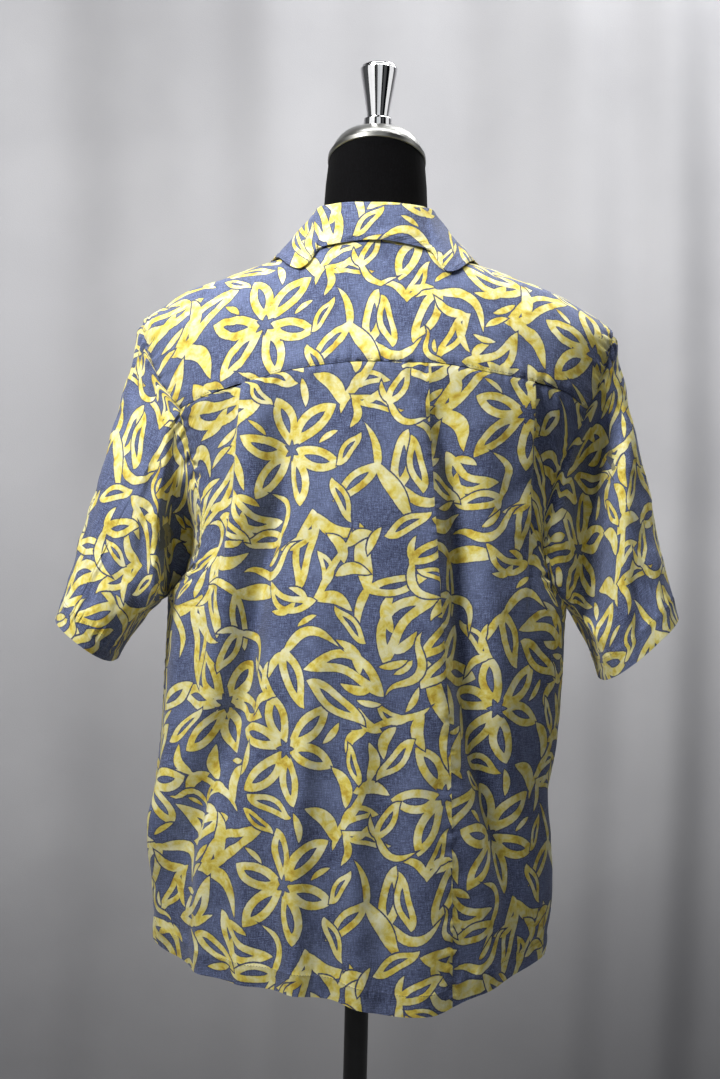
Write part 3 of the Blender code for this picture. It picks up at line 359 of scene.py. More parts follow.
def body_normals(points):
    """Outward directions of the body surface at points on it."""
    def level(p):
        x, y, z = p[..., 0], p[..., 1], p[..., 2]
        depth = np.where(y >= 0, body["back"](z), body["front"](z))
        return np.abs(x / half_width(x, z)) ** SECTION_POWER + (y / depth) ** 2

    step = 1e-5
    slopes = []
    for axis in range(3):
        shift = np.zeros(3)
        shift[axis] = step
        slopes.append(level(points + shift) - level(points - shift))
    normals = np.stack(slopes, axis=-1)
    return normals / np.linalg.norm(normals, axis=-1, keepdims=True)


def grid_normals(points, around=False):
    """Normals of a grid of points, rows by columns, by central differences."""
    if around:
        wide = np.concatenate([points[:, -1:], points, points[:, :1]], axis=1)
        across = wide[:, 2:] - wide[:, :-2]
    else:
        across = np.gradient(points, axis=1)
    up = np.gradient(points, axis=0)
    normals = np.cross(across, up)
    return normals / np.maximum(np.linalg.norm(normals, axis=-1, keepdims=True), 1e-12)


def pointing_out(normals, points, centre):
    """Turn a grid's normals round if its middle ones point to the centre."""
    row, column = points.shape[0] // 2, points.shape[1] // 2
    outward = points[row, column] - np.asarray(centre)
    return normals if np.dot(normals[row, column], outward) > 0 else -normals


# --- fineness of the cloth -------------------------------------------------
ROWS_BELOW = 150          # from hem to underarm
ROWS_ABOVE = 80           # from underarm to yoke seam or shoulder seam
ROW_RISE = 3              # rows take on the slope of the seam above them by this power
DIP = 0.008               # rows sink this much just inside the bottom of an armhole
DIP_RISE = 0.008          # most of all this far above the underarm
DIP_SPAN = 0.030          # and less with height over this distance
DIP_TURN = math.radians(14)     # angle round the body over which they sink
PLEAT_TURN = 8            # steps round each turn of a pleat
BACK_MIDDLE = 46          # columns from the middle of the back to a pleat
JOIN_COLUMN = 24          # the one of them that follows the join in the back's cloth
BACK_SIDE = 36            # columns from a pleat to the side seam
YOKE_ROWS = 60
SHOULDER_COLUMNS = 48     # along each shoulder seam
NECK_COLUMNS = 60
NECK_SHARE = 0.34         # of the yoke's seam, that lies below the neckline
FRONT_COLUMNS = 84
FRONT_EVEN = 0.7          # above this share of a front its columns become evenly spaced
SLEEVE_ROWS = 96
COLLAR_STATIONS = 170     # along the neckline
STAND_STEPS = 12
COLLAR_TURN_STEPS = 12
FALL_STEPS = 30
LAPEL_GRID = (56, 48)     # rows up the roll, columns out from it

# The join between the two widths of cloth in the back: height, and distance from
# the middle.
JOIN = ((0.640, 0.0965), (0.860, 0.0900), (1.000, 0.0800), (1.140, 0.0650), (1.270, 0.0550))
join_place = smooth_curve(JOIN, 1)


# --- panels of the torso ---------------------------------------------------
def spread(start, end, count, ease=1.0):
    """Count + 1 values from start to end, closer together at the start if ease > 1."""
    return start + (end - start) * np.linspace(0.0, 1.0, count + 1) ** ease


def edge_x(z, face, side):
    """Distance of a panel's outer edge from the middle: side seam, then armhole."""
    below = body[side](z)
    blend = smoothstep(z, UNDERARM_Z, ARMHOLE[0][0])
    beside = armhole[face + "_" + side](z)
    return np.where(z <= UNDERARM_Z, below, below * (1 - blend) + beside * blend)


def side_rows(z_hem, z_top):
    """Heights of a panel's rows along its outer edge, with a row at the underarm."""
    below = spread(z_hem, UNDERARM_Z, ROWS_BELOW)
    rise = (1 - np.cos(spread(0.0, math.pi, ROWS_ABOVE))) / 2
    return np.concatenate([below, UNDERARM_Z + (z_top - UNDERARM_Z) * rise[1:]])


def underarm_dip(z, way):
    """How far a row sinks inside the level bottom of an armhole.

    z is the row's height at the armhole, and way runs to 1 at its edge.
    """
    near = np.exp(-((z - UNDERARM_Z - DIP_RISE) / DIP_SPAN) ** 2)
    inward = np.arccos(np.clip(np.abs(way), 0.0, 1.0))
    return DIP * near * smoothstep(inward, 0.0, DIP_TURN)


def pleat_path(side, z):
    """Places and lifts of the columns across one pleat, at a height.

    The path runs from the middle outward: round the fold, back under the
    cloth it came from, and round again to go on outward.  Lower down the lap
    shortens to nothing, and then the two turns open until the cloth is flat.
    """
    x_top, x_bottom, lap = PLEATS[side]
    x_fold = x_bottom + (x_top - x_bottom) * smoothstep(z, PLEAT_END_Z, PLEAT_TOP_Z)
    reach = lap * np.clip((z - PLEAT_CLOSED_Z) / (PLEAT_TOP_Z - PLEAT_CLOSED_Z), 0.0, 1.0)
    turn = math.pi * max(PLEAT_LEAST_TURN, float(smoothstep(z, PLEAT_END_Z, PLEAT_CLOSED_Z)))
    radius = 0.5 * LAYER * math.pi / turn
    drop = 2 * radius * (1 - math.cos(turn))
    angles = np.linspace(0.0, turn, PLEAT_TURN + 1)
    end = 2 * radius * math.sin(turn) + reach * math.cos(turn)
    out = np.concatenate([radius * np.sin(angles), end - radius * np.sin(angles[::-1])])
    rise = radius * (1 - np.cos(angles))
    lifts = np.concatenate([drop - rise, rise[::-1]]) - PLEAT_SINK * drop
    return x_fold - 0.5 * LAYER + out, lifts


def back_row(side, z, edge):
    """One half row of the back, from near the middle to its outer edge."""
    places, lifts = pleat_path(side, z)
    if side == "right":
        join = float(join_place(z))
        middle = np.concatenate([spread(0.0, join, JOIN_COLUMN)[:-1],
                                 spread(join, places[0], BACK_MIDDLE - JOIN_COLUMN)[:-1]])
    else:
        middle = spread(0.0, places[0], BACK_MIDDLE)[:-1]
    inner = smoothstep(middle, places[0] - PLEAT_BLEND, places[0]) * lifts[0]
    margin = SEAM_GAP / SIDE_SEAM_DEPTH
    turns = spread(math.asin(places[-1] / edge), math.pi / 2 - margin, BACK_SIDE)[1:]
    outer = edge * np.sin(turns)
    fold = places[PLEAT_TURN]
    under = lifts[-1] * (1 - smoothstep(outer, fold, fold + PLEAT_BLEND))
    return np.concatenate([middle, places, outer]), np.concatenate([inner, lifts, under])


def fold_depth(x, z):
    """How far the long folds sink the cloth in, at places on the back."""
    depth = np.zeros(np.broadcast(x, z).shape)
    heights = FOLD_HEIGHTS[::-1]
    for places, depths, width in FOLDS:
        place = smooth_curve(list(zip(heights, places[::-1])), 1)(z)
        sink = smooth_curve(list(zip(heights, depths[::-1])), 1)(z)
        depth = depth + sink * np.exp(-((x - place) / width) ** 2)
    return depth * smoothstep(z, PLEAT_TOP_Z, FOLDS_FULL_Z)


def back_grid():
    """The back's middle surface as rows of points, from hem to yoke seam."""
    corners = {"left": (HEM_BACK[-1], YOKE_SEAM[-1]), "right": (HEM_BACK[0], YOKE_SEAM[0])}
    edges = {side: side_rows(hem[1], seam[1] - YOKE_GAP / 2)
             for side, (hem, seam) in corners.items()}
    xs, zs, lifts = [], [], []
    for k in range(ROWS_BELOW + ROWS_ABOVE + 1):
        halves = {}
        for side in SIDES:
            z = edges[side][k]
            edge = float(edge_x(z, "back", side))
            x, lift = back_row(side, z, edge)
            way = x / x[-1]
            hem, seam = corners[side]
            halves[side] = np.stack([x * SIDES[side], lift, way * hem[0], way * seam[0]])
        x, lift, hem_x, seam_x = np.concatenate(
            [halves["right"][:, :0:-1], halves["left"]], axis=1)
        span = (x - x[0]) / (x[-1] - x[0])
        low, line, high = (edges["right"][i] + (edges["left"][i] - edges["right"][i]) * span
                           for i in (0, k, -1))
        share = (line - low) / (high - low)
        xs.append(x)
        way = np.where(x > 0, x / x[-1], x / x[0])
        zs.append(line + (hem_back(hem_x) - low) * (1 - share)
                  + (yoke_seam(seam_x) - YOKE_GAP / 2 - high) * share ** ROW_RISE
                  - underarm_dip(line, way))
        lifts.append(lift)
    xs, zs, lifts = np.array(xs), np.array(zs), np.array(lifts)
    flat = on_face(xs, zs, "back")
    outward = body_normals(flat)
    return flat + outward * (lifts - fold_depth(xs, zs))[..., None], outward


def yoke_bottom(share):
    """Distance from the middle along the yoke seam, -1 to 1 from right to left."""
    ends = {"left": YOKE_SEAM[-1][0], "right": -YOKE_SEAM[0][0]}
    return np.where(share >= 0, share * ends["left"], share * ends["right"])


def neckline(share):
    """Place and shoulder angle of the neckline, -1 to 1 from right to left."""
    turn = share * math.pi / 2
    x = float(body["left"](NECKLINE_Z)) * np.sin(turn)
    z = np.full_like(x, NECKLINE_Z)
    return x, shoulder_angle(x, z)


def yoke_grid():
    """The yoke's middle surface, from its seam on the back to its front edges."""
    out = spread(1.0, NECK_SHARE, SHOULDER_COLUMNS)
    across = spread(NECK_SHARE, -NECK_SHARE, NECK_COLUMNS)[1:-1]
    bottom = yoke_bottom(np.concatenate([-out, -across, out[::-1]]))
    ends = {"left": bottom[-1], "right": bottom[0]}
    neck_x, neck_angle = neckline(spread(1.0, -1.0, NECK_COLUMNS)[1:-1])
    seam = SHOULDER_SEAM_ANGLE + SEAM_GAP / SHOULDER_DEPTH
    tips = {side: float(yoke_armhole[side](math.degrees(seam))) for side in SIDES}
    left_x = spread(tips["left"], NECK_POINT_X, SHOULDER_COLUMNS)
    right_x = -spread(tips["right"], NECK_POINT_X, SHOULDER_COLUMNS)
    top_x = np.concatenate([right_x, -neck_x, left_x[::-1]])
    seam_angles = np.full(SHOULDER_COLUMNS + 1, seam)
    top_angle = np.concatenate([seam_angles, neck_angle, seam_angles])
    bottom_angle = shoulder_angle(bottom, yoke_seam(bottom) + YOKE_GAP / 2)
    xs, angles = [], []
    for t in np.linspace(0.0, 1.0, YOKE_ROWS + 1):
        angle = bottom_angle + (top_angle - bottom_angle) * t
        edge = {}
        for side, end in (("left", -1), ("right", 0)):
            curve = yoke_armhole[side]
            missing = abs(bottom[end]) - float(curve(math.degrees(bottom_angle[end])))
            width = float(curve(math.degrees(angle[end]))) + missing * (1 - t)
            edge[side] = SIDES[side] * width
        share = bottom / np.where(bottom > 0, ends["left"], ends["right"])
        top_share = top_x / np.where(top_x > 0, tips["left"], -tips["right"])
        share = share + (top_share - share) * t
        xs.append(np.where(bottom > 0, edge["left"], edge["right"]) * share)
        angles.append(angle)
    points = over_shoulder(np.array(xs), np.array(angles))
    return points, body_normals(points)


def front_lift(side, inward):
    """How far the left front lies out over the right one, near the middle."""
    if side == "right":
        return np.zeros_like(inward)
    return FRONT_LAYER * (1 - smoothstep(inward, *(BUTTON_STAND * share for share in STAND_LIFT)))


def front_edge_x(z):
    """The inner edge of a front: button stand, roll of the lapel, neckline."""
    overlap = -BUTTON_STAND / 2
    neck_z = shoulder_z(NECK_POINT_X, SHOULDER_SEAM_ANGLE)
    return np.interp(z, (BREAK_Z, GORGE_Z, neck_z), (overlap, GORGE_X, NECK_POINT_X))


def front_grid(side):
    """A front's middle surface, rows from hem to shoulder, columns from the middle out."""
    sign = SIDES[side]
    seam = SHOULDER_SEAM_ANGLE - SEAM_GAP / SHOULDER_DEPTH
    tip = float(yoke_armhole[side](math.degrees(seam)))
    top_x = spread(NECK_POINT_X, tip, FRONT_COLUMNS)
    top_z = shoulder_z(sign * top_x, seam)
    hem_z = (HEM_BACK[-1] if side == "left" else HEM_BACK[0])[1]
    outer_z = side_rows(hem_z, float(top_z[-1]))
    share = (outer_z - outer_z[0]) / (outer_z[-1] - outer_z[0])
    margin = SEAM_GAP / SIDE_SEAM_DEPTH
    columns_share = np.linspace(0.0, 1.0, FRONT_COLUMNS + 1)
    points = []
    for k, z_out in enumerate(outer_z):
        edge = float(edge_x(z_out, "front", side))
        fall, rise = 1 - share[k], share[k] ** ROW_RISE
        middle = z_out + (HEM_FRONT_Z - hem_z) * fall + (top_z[0] - top_z[-1]) * rise
        inner = float(front_edge_x(middle))
        turns = spread(math.asin(inner / edge), math.pi / 2 - margin, FRONT_COLUMNS)
        round_share = (np.sin(turns) - np.sin(turns[0])) / (np.sin(turns[-1]) - np.sin(turns[0]))
        blend = smoothstep(share[k], FRONT_EVEN, 1.0)
        x = inner + (edge * np.sin(turns[-1]) - inner) * (
            round_share * (1 - blend) + columns_share * blend)
        hem = HEM_FRONT_Z + (hem_z - HEM_FRONT_Z) * smoothstep(x / edge, HEM_FRONT_LEVEL, 1.0)
        z = z_out + (hem - hem_z) * fall + (top_z - top_z[-1]) * rise
        z = z - underarm_dip(z_out, x / x[-1])
        points.append(np.stack([sign * x, z], axis=-1))
    points = np.array(points)
    flat = on_face(points[..., 0], points[..., 1], "front")
    outward = body_normals(flat)
    lift = front_lift(side, sign * points[..., 0])
    return flat + outward * lift[..., None], outward


# --- sleeves ---------------------------------------------------------------
def armhole_ring(side, back, yoke, front):
    """Points and normals round an armhole: up the back, over, down the front."""
    column = -1 if side == "left" else 0
    parts = []
    for which in range(2):
        up = back[which][ROWS_BELOW:, column]
        over = yoke[which][1:-1, column]
        down = front[which][ROWS_BELOW + 1:, -1][::-1]
        parts.append(np.concatenate([up, over, down]))
    return parts


def along(points):
    """Shares of the way along a line of points."""
    steps = np.linalg.norm(np.diff(points, axis=0), axis=-1)
    distance = np.concatenate([[0.0], np.cumsum(steps)])
    return distance / distance[-1]


def unit(vectors):
    length = np.linalg.norm(vectors, axis=-1, keepdims=True)
    return vectors / np.maximum(length, 1e-12)


def seam_mitre(side, ring, normals, leaving):
    """The shared rim of two walls round an armhole, and the way across the seam."""
    sign = SIDES[side]
    tangent = unit(np.roll(ring, -1, axis=0) - np.roll(ring, 1, axis=0))
    normals = unit(normals - tangent * np.sum(normals * tangent, axis=-1, keepdims=True))
    leaving = unit(leaving - tangent * np.sum(leaving * tangent, axis=-1, keepdims=True))
    arriving = sign * np.cross(normals, tangent)
    mitre = unit(normals + sign * np.cross(tangent, leaving))
    lean = np.maximum(np.sum(mitre * normals, axis=-1, keepdims=True), MITRE_LIMIT)
    return mitre / lean, unit(arriving + leaving)


def sleeve_grid(side, ring, ring_normals, over_at):
    """A sleeve's middle surface, rows from armhole to hem, its normals and its mitre."""
    sign = SIDES[side]
    inner_x, inner_z, outer_x, outer_z, half_deep = SLEEVES[side]
    low = np.array([sign * inner_x, 0.0, inner_z])
    high = np.array([sign * outer_x, 0.0, outer_z])
    centre, reach = (low + high) / 2, (high - low) / 2
    up_back = along(ring[:over_at + 1]) / 2
    down_front = 0.5 + along(np.concatenate([ring[over_at:], ring[:1]])) / 2
    way = np.concatenate([up_back, down_front[1:-1]])
    angle = 2 * math.pi * way
    power = 2.0 / SLEEVE_POWER
    wide = -np.sign(np.cos(angle)) * np.abs(np.cos(angle)) ** power
    deep = np.sign(np.sin(angle)) * np.abs(np.sin(angle)) ** power
    hem = centre + wide[:, None] * reach + deep[:, None] * np.array([0.0, half_deep, 0.0])
    leave = np.array(SLEEVE_UNDERARM) * (sign, 1.0, 1.0)
    pull = (SLEEVE_PULL * np.cos(math.pi * way) ** 2)[:, None]
    first = unit(unit(hem - ring) * (1 - pull) + leave * pull)
    last = unit(centre - ring.mean(axis=0))
    mitre, across = seam_mitre(side, ring, ring_normals, first)
    start = ring + across * SEAM_GAP
    grid = []
    for t in spread(0.0, 1.0, SLEEVE_ROWS, SLEEVE_EASE):
        blend = t * t * (3 - 2 * t)
        grid.append(start * (1 - blend) + hem * blend
                    + first * SLEEVE_START * t * (1 - t) ** 2
                    - last * SLEEVE_FINISH * t * t * (1 - t))
    grid = np.array(grid)
    normals = grid_normals(grid, around=True)
    normals = normals * np.sign(np.dot(normals[SLEEVE_ROWS // 2, over_at], (sign, 0.0, 0.5)))
    normals[0] = mitre
    return grid, normals, mitre


def share_mitre(side, mitre, back, yoke, front):
    """Give the panels' armhole edges the same rim directions as the sleeve's."""
    column = -1 if side == "left" else 0
    up = len(back) - ROWS_BELOW
    over = up + len(yoke) - 2
    back[ROWS_BELOW:, column] = mitre[:up]
    yoke[1:-1, column] = mitre[up:over]
    yoke[0, column], yoke[-1, column] = mitre[up - 1], mitre[over]
    front[ROWS_BELOW + 1:, -1] = mitre[over:][::-1]
    front[ROWS_BELOW, -1] = mitre[0]


# --- collar and lapels -----------------------------------------------------
def collar_line(fronts, yoke):
    """Neckline points from the left front's gorge round the back to the right's."""
    parts = []
    for side in SIDES:
        edge = fronts[side][:, 0]
        upper = edge[edge[:, 2] >= GORGE_Z - COLLAR_DROP][:-1]
        parts.append(upper)
    neck = yoke[-1, SHOULDER_COLUMNS:-SHOULDER_COLUMNS][::-1]
    line = np.concatenate([parts[0], neck, parts[1][::-1]])
    ways = spread(0.0, 1.0, COLLAR_STATIONS)
    return np.stack([np.interp(ways, along(line), line[:, axis]) for axis in range(3)], axis=-1)


def collar_grid(line):
    """The collar's middle surface: a row at each neckline point, from seam to edge."""
    middle = int(np.argmin(np.abs(line[:, 0]) + (line[:, 1] < 0)))
    left = 1 - along(line[:middle + 1])
    right = along(line[middle:])
    fractions = np.concatenate([left, right[1:]])
    curves = column_curves(COLLAR, COLLAR_COLUMNS)
    rows = []
    for point, fraction in zip(line, fractions):
        sign = 1.0 if point[0] >= 0 else -1.0
        edge_at = over_shoulder(sign * curves["edge x"](fraction),
                                np.radians(curves["edge degrees"](fraction)))
        edge = edge_at + body_normals(edge_at) * curves["lift"](fraction)
        away = unit(np.array([point[0], point[1], 0.0]))
        start = point + np.array([0.0, 0.0, COLLAR_SEAM]) - away * COLLAR_SEAM
        top = start + np.array([0.0, 0.0, float(curves["stand"](fraction))])
        top = top - away * curves["lean"](fraction)
        rise = unit(top - start)
        out = unit(away - rise * np.dot(away, rise))
        hub = top + out * COLLAR_TURN_RADIUS
        turns = np.linspace(0.0, math.pi, COLLAR_TURN_STEPS + 1)[:, None]
        turned = hub + COLLAR_TURN_RADIUS * (rise * np.sin(turns) - out * np.cos(turns))
        stand = [start + (top - start) * t for t in spread(0.0, 1.0, STAND_STEPS)[:-1]]
        bend = (turned[-1] + edge) / 2 + out * COLLAR_BULGE
        fall = [turned[-1] * (1 - t) ** 2 + bend * 2 * t * (1 - t) + edge * t * t
                for t in spread(0.0, 1.0, FALL_STEPS)[1:]]
        rows.append(np.concatenate([np.array(stand), turned, np.array(fall)]))
    grid = np.array(rows)
    normals = grid_normals(grid)
    fold = STAND_STEPS + COLLAR_TURN_STEPS // 2
    normals = normals * np.sign(normals[middle, fold, 2])
    return grid, normals


def lapel_grid(side):
    """A lapel lying out over its front from the roll."""
    rows, columns = LAPEL_GRID
    sign = SIDES[side]
    curves = column_curves(LAPEL, LAPEL_COLUMNS)
    points = []
    for share in spread(0.0, 1.0, rows):
        z_roll = LAPEL_LOW_Z + (GORGE_Z - LAPEL_DROP - LAPEL_LOW_Z) * share
        x_roll = float(front_edge_x(z_roll))
        slope = math.radians(float(curves["degrees below level"](share)))
        out = spread(0.0, float(curves["width"](share)), columns)
        x = x_roll + out * math.cos(slope)
        z = z_roll - out * math.sin(slope)
        flat = on_face(sign * x, z, "front")
        lift = LAPEL_LIFT + front_lift(side, x)
        points.append(flat + body_normals(flat) * lift[:, None])
    points = np.array(points)
    normals = grid_normals(points)
    return points, normals * -np.sign(normals[rows // 2, columns // 2, 1])


# --- the print -------------------------------------------------------------
# Every motif is made of blades: pointed leaf shapes along a curved spine.  A
# face of the cloth stores where it lies along and beside the blades nearest
# to it, and the dye is laid from that, so its outlines stay sharp close up.
PRINT_SCALE = 1.18
PRINT_WEIGHT = 1.05        # of the blades' widths
PLAIN_REPEAT = (0.300, 0.360)    # across and along, then the print starts again
REPEAT = tuple(side * PRINT_SCALE for side in PLAIN_REPEAT)
MOAT = 0.0015             # ground left bare round a motif that lies over another
SPINE_STEPS = 14
FAR = 10.0
SLOTS = 4                 # blades that one face keeps
OUTLINE_REACH = 0.0012
BLADE_POWER = 0.85        # under 1 fills the blade out between its points
HOLLOW_START, HOLLOW_SPAN, HOLLOW_WIDTH, HOLLOW_POWER = 0.26, 0.51, 0.32, 0.85
CODE_HOLLOW, CODE_FIRST, CODE_CUT = 1, 2, 4
CODE_GUARD = 0.0005       # added before a code is rounded down
WIDTH_SCALE = 10.0        # a half width times this is the code's fraction
NO_BLADE = np.array([0.5, 1.0, 0.0])    # what a slot holds if no blade is near


def blade(length, width, x=0.0, y=0.0, turn=0.0, bend=0.0, twist=0.0, belly=1.0,
          hollow=False, cut=False):
    """One leaf shape: its root, its way, how it curves, and where it is widest."""
    share = np.linspace(0.0, 1.0, SPINE_STEPS + 1)
    angle = turn + bend * share + twist * np.sin(2 * math.pi * share)
    middle = (angle[1:] + angle[:-1]) / 2
    step = length / SPINE_STEPS
    spine = np.stack([x + np.concatenate([[0.0], np.cumsum(np.cos(middle))]) * step,
                      y + np.concatenate([[0.0], np.cumsum(np.sin(middle))]) * step], axis=-1)
    return spine, width / 2, belly, hollow, cut


def petals(width):
    """Six petals from one root, bent to one side and the other."""
    blades = []
    for k in range(6):
        turn = math.pi / 3 * k + 0.10 * math.sin(3.1 * k)
        bend = 0.40 if k % 2 else -0.40
        length = 0.0475 * (1 + 0.09 * math.sin(2.3 * k + 1))
        blades.append(blade(length, width, turn=turn - bend / 2, bend=bend, belly=1.15,
                            hollow=True))
    return blades


def flower():
    """Six hollow petals round a star of bare ground."""
    blades = petals(0.0215)
    for k in range(3):
        turn = math.pi / 3 * k + 0.3
        blades.append(blade(0.018, 0.0062, x=-0.009 * math.cos(turn), y=-0.009 * math.sin(turn),
                            turn=turn, cut=True))
    return blades


def on_stem(share):
    """Where a sprig's leaf grows, at a share of the way along its stem."""
    return (0.072 * share * math.cos(0.45 * share),
            0.072 * share * math.sin(0.45 * share) + 0.002 * math.sin(2 * math.pi * share))


def sprig():
    """A curved stem with pointed leaves to both sides."""
    blades = [blade(0.078, 0.0075, bend=0.9, twist=0.3, belly=0.7)]
    for k in range(5):
        share = (k + 0.4) / 5
        side = 1 if k % 2 else -1
        size = 1.0 - 0.25 * share
        blades.append(blade(
            0.039 * size, 0.0135 * size, *on_stem(share),
            turn=0.9 * share + side * (0.55 - 0.1 * share), bend=0.8 * side, twist=-0.25 * side,
            belly=0.9, hollow=k == 1))
    return blades


def plain_sprig():
    """The sprig's stand-in, with broader leaves that spread wider."""
    blades = [blade(0.074, 0.0080, bend=0.9, twist=0.3, belly=0.7)]
    for k in range(5):
        share = (k + 0.4) / 5
        side = 1 if k % 2 else -1
        size = 1.0 - 0.30 * share
        blades.append(blade(
            0.034 * size, 0.0175 * size, *on_stem(share),
            turn=0.9 * share + side * (1.0 - 0.4 * share), bend=-0.5 * side, belly=1.1))
    return blades


MOTIFS = {
    "flower": flower(),
    "sprig": sprig(),
    "swirl": [blade(0.060, 0.0235, bend=0.9, twist=0.3, belly=0.85, hollow=True),
              blade(0.066, 0.0110, x=0.006, turn=math.pi - 0.5, bend=-1.6, twist=0.3, belly=0.65),
              blade(0.030, 0.0090, x=0.004, turn=-0.9, bend=0.9, belly=0.8)],
    "flame": [blade(0.082, 0.0220, bend=1.0, twist=0.45, belly=0.8, hollow=True),
              blade(0.052, 0.0140, x=0.004, turn=-0.55, bend=-0.8, twist=0.3, belly=0.8),
              blade(0.042, 0.0120, x=0.018, y=0.004, turn=0.95, bend=0.9, belly=0.8)],
    "plume": [blade(0.084, 0.0250, bend=-0.9, twist=0.35, belly=0.85, hollow=True),
              blade(0.038, 0.0110, x=0.028, y=0.000, turn=0.65, bend=-0.9, twist=0.2, belly=0.8),
              blade(0.028, 0.0095, x=0.012, y=-0.004, turn=-1.0, bend=0.8, belly=0.8)],
    "pair": [blade(0.060, 0.0165, turn=0.38, bend=0.75, twist=0.3, belly=0.85),
             blade(0.056, 0.0185, turn=-0.36, bend=-0.55, twist=-0.2, belly=0.9, hollow=True),
             blade(0.044, 0.0085, x=0.006, turn=math.pi, bend=0.9, belly=0.6)],
    "ribbon": [blade(0.108, 0.0125, bend=0.5, twist=0.95, belly=0.9),
               blade(0.030, 0.0100, x=0.034, y=0.016, turn=0.2, bend=-0.7, belly=0.8)],
    "leaf": [blade(0.066, 0.0215, bend=0.8, twist=0.40, belly=0.85, hollow=True)],
    "seed": [blade(0.026, 0.0075, bend=0.5)],
}

# Plainer shapes that stand in for the motifs while room is sought for them.
STAND_INS = {
    "flower": petals(0.0222),
    "sprig": plain_sprig(),
    "swirl": [blade(0.056, 0.0245, bend=0.9, belly=0.9),
              blade(0.062, 0.0120, x=0.006, turn=math.pi - 0.5, bend=-1.6, twist=0.3, belly=0.65)],
    "flame": [blade(0.076, 0.0185, bend=1.0, twist=0.45, belly=0.8),
              blade(0.046, 0.0125, x=0.004, turn=-0.55, bend=-0.8, twist=0.3, belly=0.8),
              blade(0.036, 0.0110, x=0.018, y=0.004, turn=0.95, bend=0.9, belly=0.8)],
    "plume": [blade(0.082, 0.0270, bend=-0.9, twist=0.30, belly=0.85),
              blade(0.034, 0.0120, x=0.030, y=-0.002, turn=0.55, bend=-0.8, belly=0.8)],
    "pair": [blade(0.056, 0.0210, turn=0.42, bend=-0.7, belly=0.95),
             blade(0.052, 0.0200, turn=-0.42, bend=0.7, belly=0.95),
             blade(0.040, 0.0090, x=0.006, turn=math.pi, bend=0.9, belly=0.6)],
    "ribbon": [blade(0.105, 0.0125, bend=0.5, twist=0.95, belly=0.9)],
    "leaf": [blade(0.062, 0.0215, bend=0.8, twist=0.25, belly=0.85)],
    "seed": [blade(0.024, 0.0080, bend=0.4)],
}

# What the repeat is filled with, in this order: a motif, how many of it at
# most, and its least and greatest scale.
PLAN = (
    ("flower", 4, 0.98, 1.08), ("plume", 4, 0.85, 1.0), ("flame", 4, 0.85, 1.05),
    ("swirl", 4, 0.85, 1.05), ("pair", 4, 0.8, 1.0), ("sprig", 4, 0.9, 1.1),
    ("plume", 3, 0.65, 0.85), ("flame", 5, 0.55, 0.8), ("swirl", 5, 0.6, 0.85),
    ("leaf", 7, 0.7, 1.0), ("ribbon", 6, 0.6, 1.0), ("leaf", 8, 0.45, 0.7),
    ("ribbon", 5, 0.4, 0.6), ("seed", 18, 0.7, 1.4),
)
PRINT_SEED = 22
CELL = 0.002                # room is judged on a coarse grid of these
CELLS = (150, 180)          # that many of them fill the plain repeat
MARGIN = 0.001              # round a blade, counted as its own
MOST_TRIES = 700            # for one line of the plan
STRICT_TRIES = 300          # the first of them may overlap the others less
STRICT_OVERLAP, LOOSE_OVERLAP = 0.05, 0.12


def along_blade(points, line, belly):
    """Share of the way along a blade, and signed distance beside its spine."""
    starts, steps = line[:-1], np.diff(line, axis=0)
    lengths = np.linalg.norm(steps, axis=-1)
    away = points[:, None, :] - starts
    low, high = np.zeros(len(starts)), np.ones(len(starts))
    low[0], high[-1] = -FAR, FAR
    t = np.clip(np.sum(away * steps, axis=-1) / lengths ** 2, low, high)
    off = away - t[..., None] * steps
    gap = np.linalg.norm(off, axis=-1)
    nearest = np.argmin(gap, axis=-1)
    rows = np.arange(len(points))
    step, apart = steps[nearest], off[rows, nearest]
    side = np.sign(step[:, 0] * apart[:, 1] - step[:, 1] * apart[:, 0])
    share = (nearest + t[rows, nearest]) / len(starts)
    warped = np.where(share > 1, 1 + belly * (share - 1),
                      np.where(share < 0, share, np.clip(share, 0, 1) ** belly))
    return warped, gap[rows, nearest] * side


def bulge(share, power):
    q = 4 * share * (1 - share)
    return np.maximum(q, 0.0) ** power + np.minimum(q, 0.0)


def laid_line(spine, x, y, turn, scale, flip):
    """A blade's spine at its motif's place, turned, scaled and mirrored or not."""
    cosine, sine = math.cos(turn) * scale, math.sin(turn) * scale
    line = spine * (1.0, flip)
    return np.stack([line[:, 0] * cosine - line[:, 1] * sine + x,
                     line[:, 0] * sine + line[:, 1] * cosine + y], axis=-1)


def covered_cells(motif, place):
    """Columns and rows of the cells that a motif's stand-in covers at a place."""
    cells = []
    scale = place[3]
    for spine, half, belly, _, _ in STAND_INS[motif]:
        line = laid_line(spine, *place)
        half = half * scale
        low, high = line.min(axis=0) - half, line.max(axis=0) + half
        columns = np.arange(int(low[0] / CELL) - 1, int(high[0] / CELL) + 2)
        rows = np.arange(int(low[1] / CELL) - 1, int(high[1] / CELL) + 2)
        grid = np.stack(np.meshgrid(columns, rows), axis=-1).reshape(-1, 2)
        share, beside = along_blade(grid * CELL, line, belly)
        cells.append(grid[np.abs(beside) - half * bulge(share, BLADE_POWER) < MARGIN])
    cells = np.unique(np.concatenate(cells), axis=0) % CELLS
    return cells[:, 0], cells[:, 1]


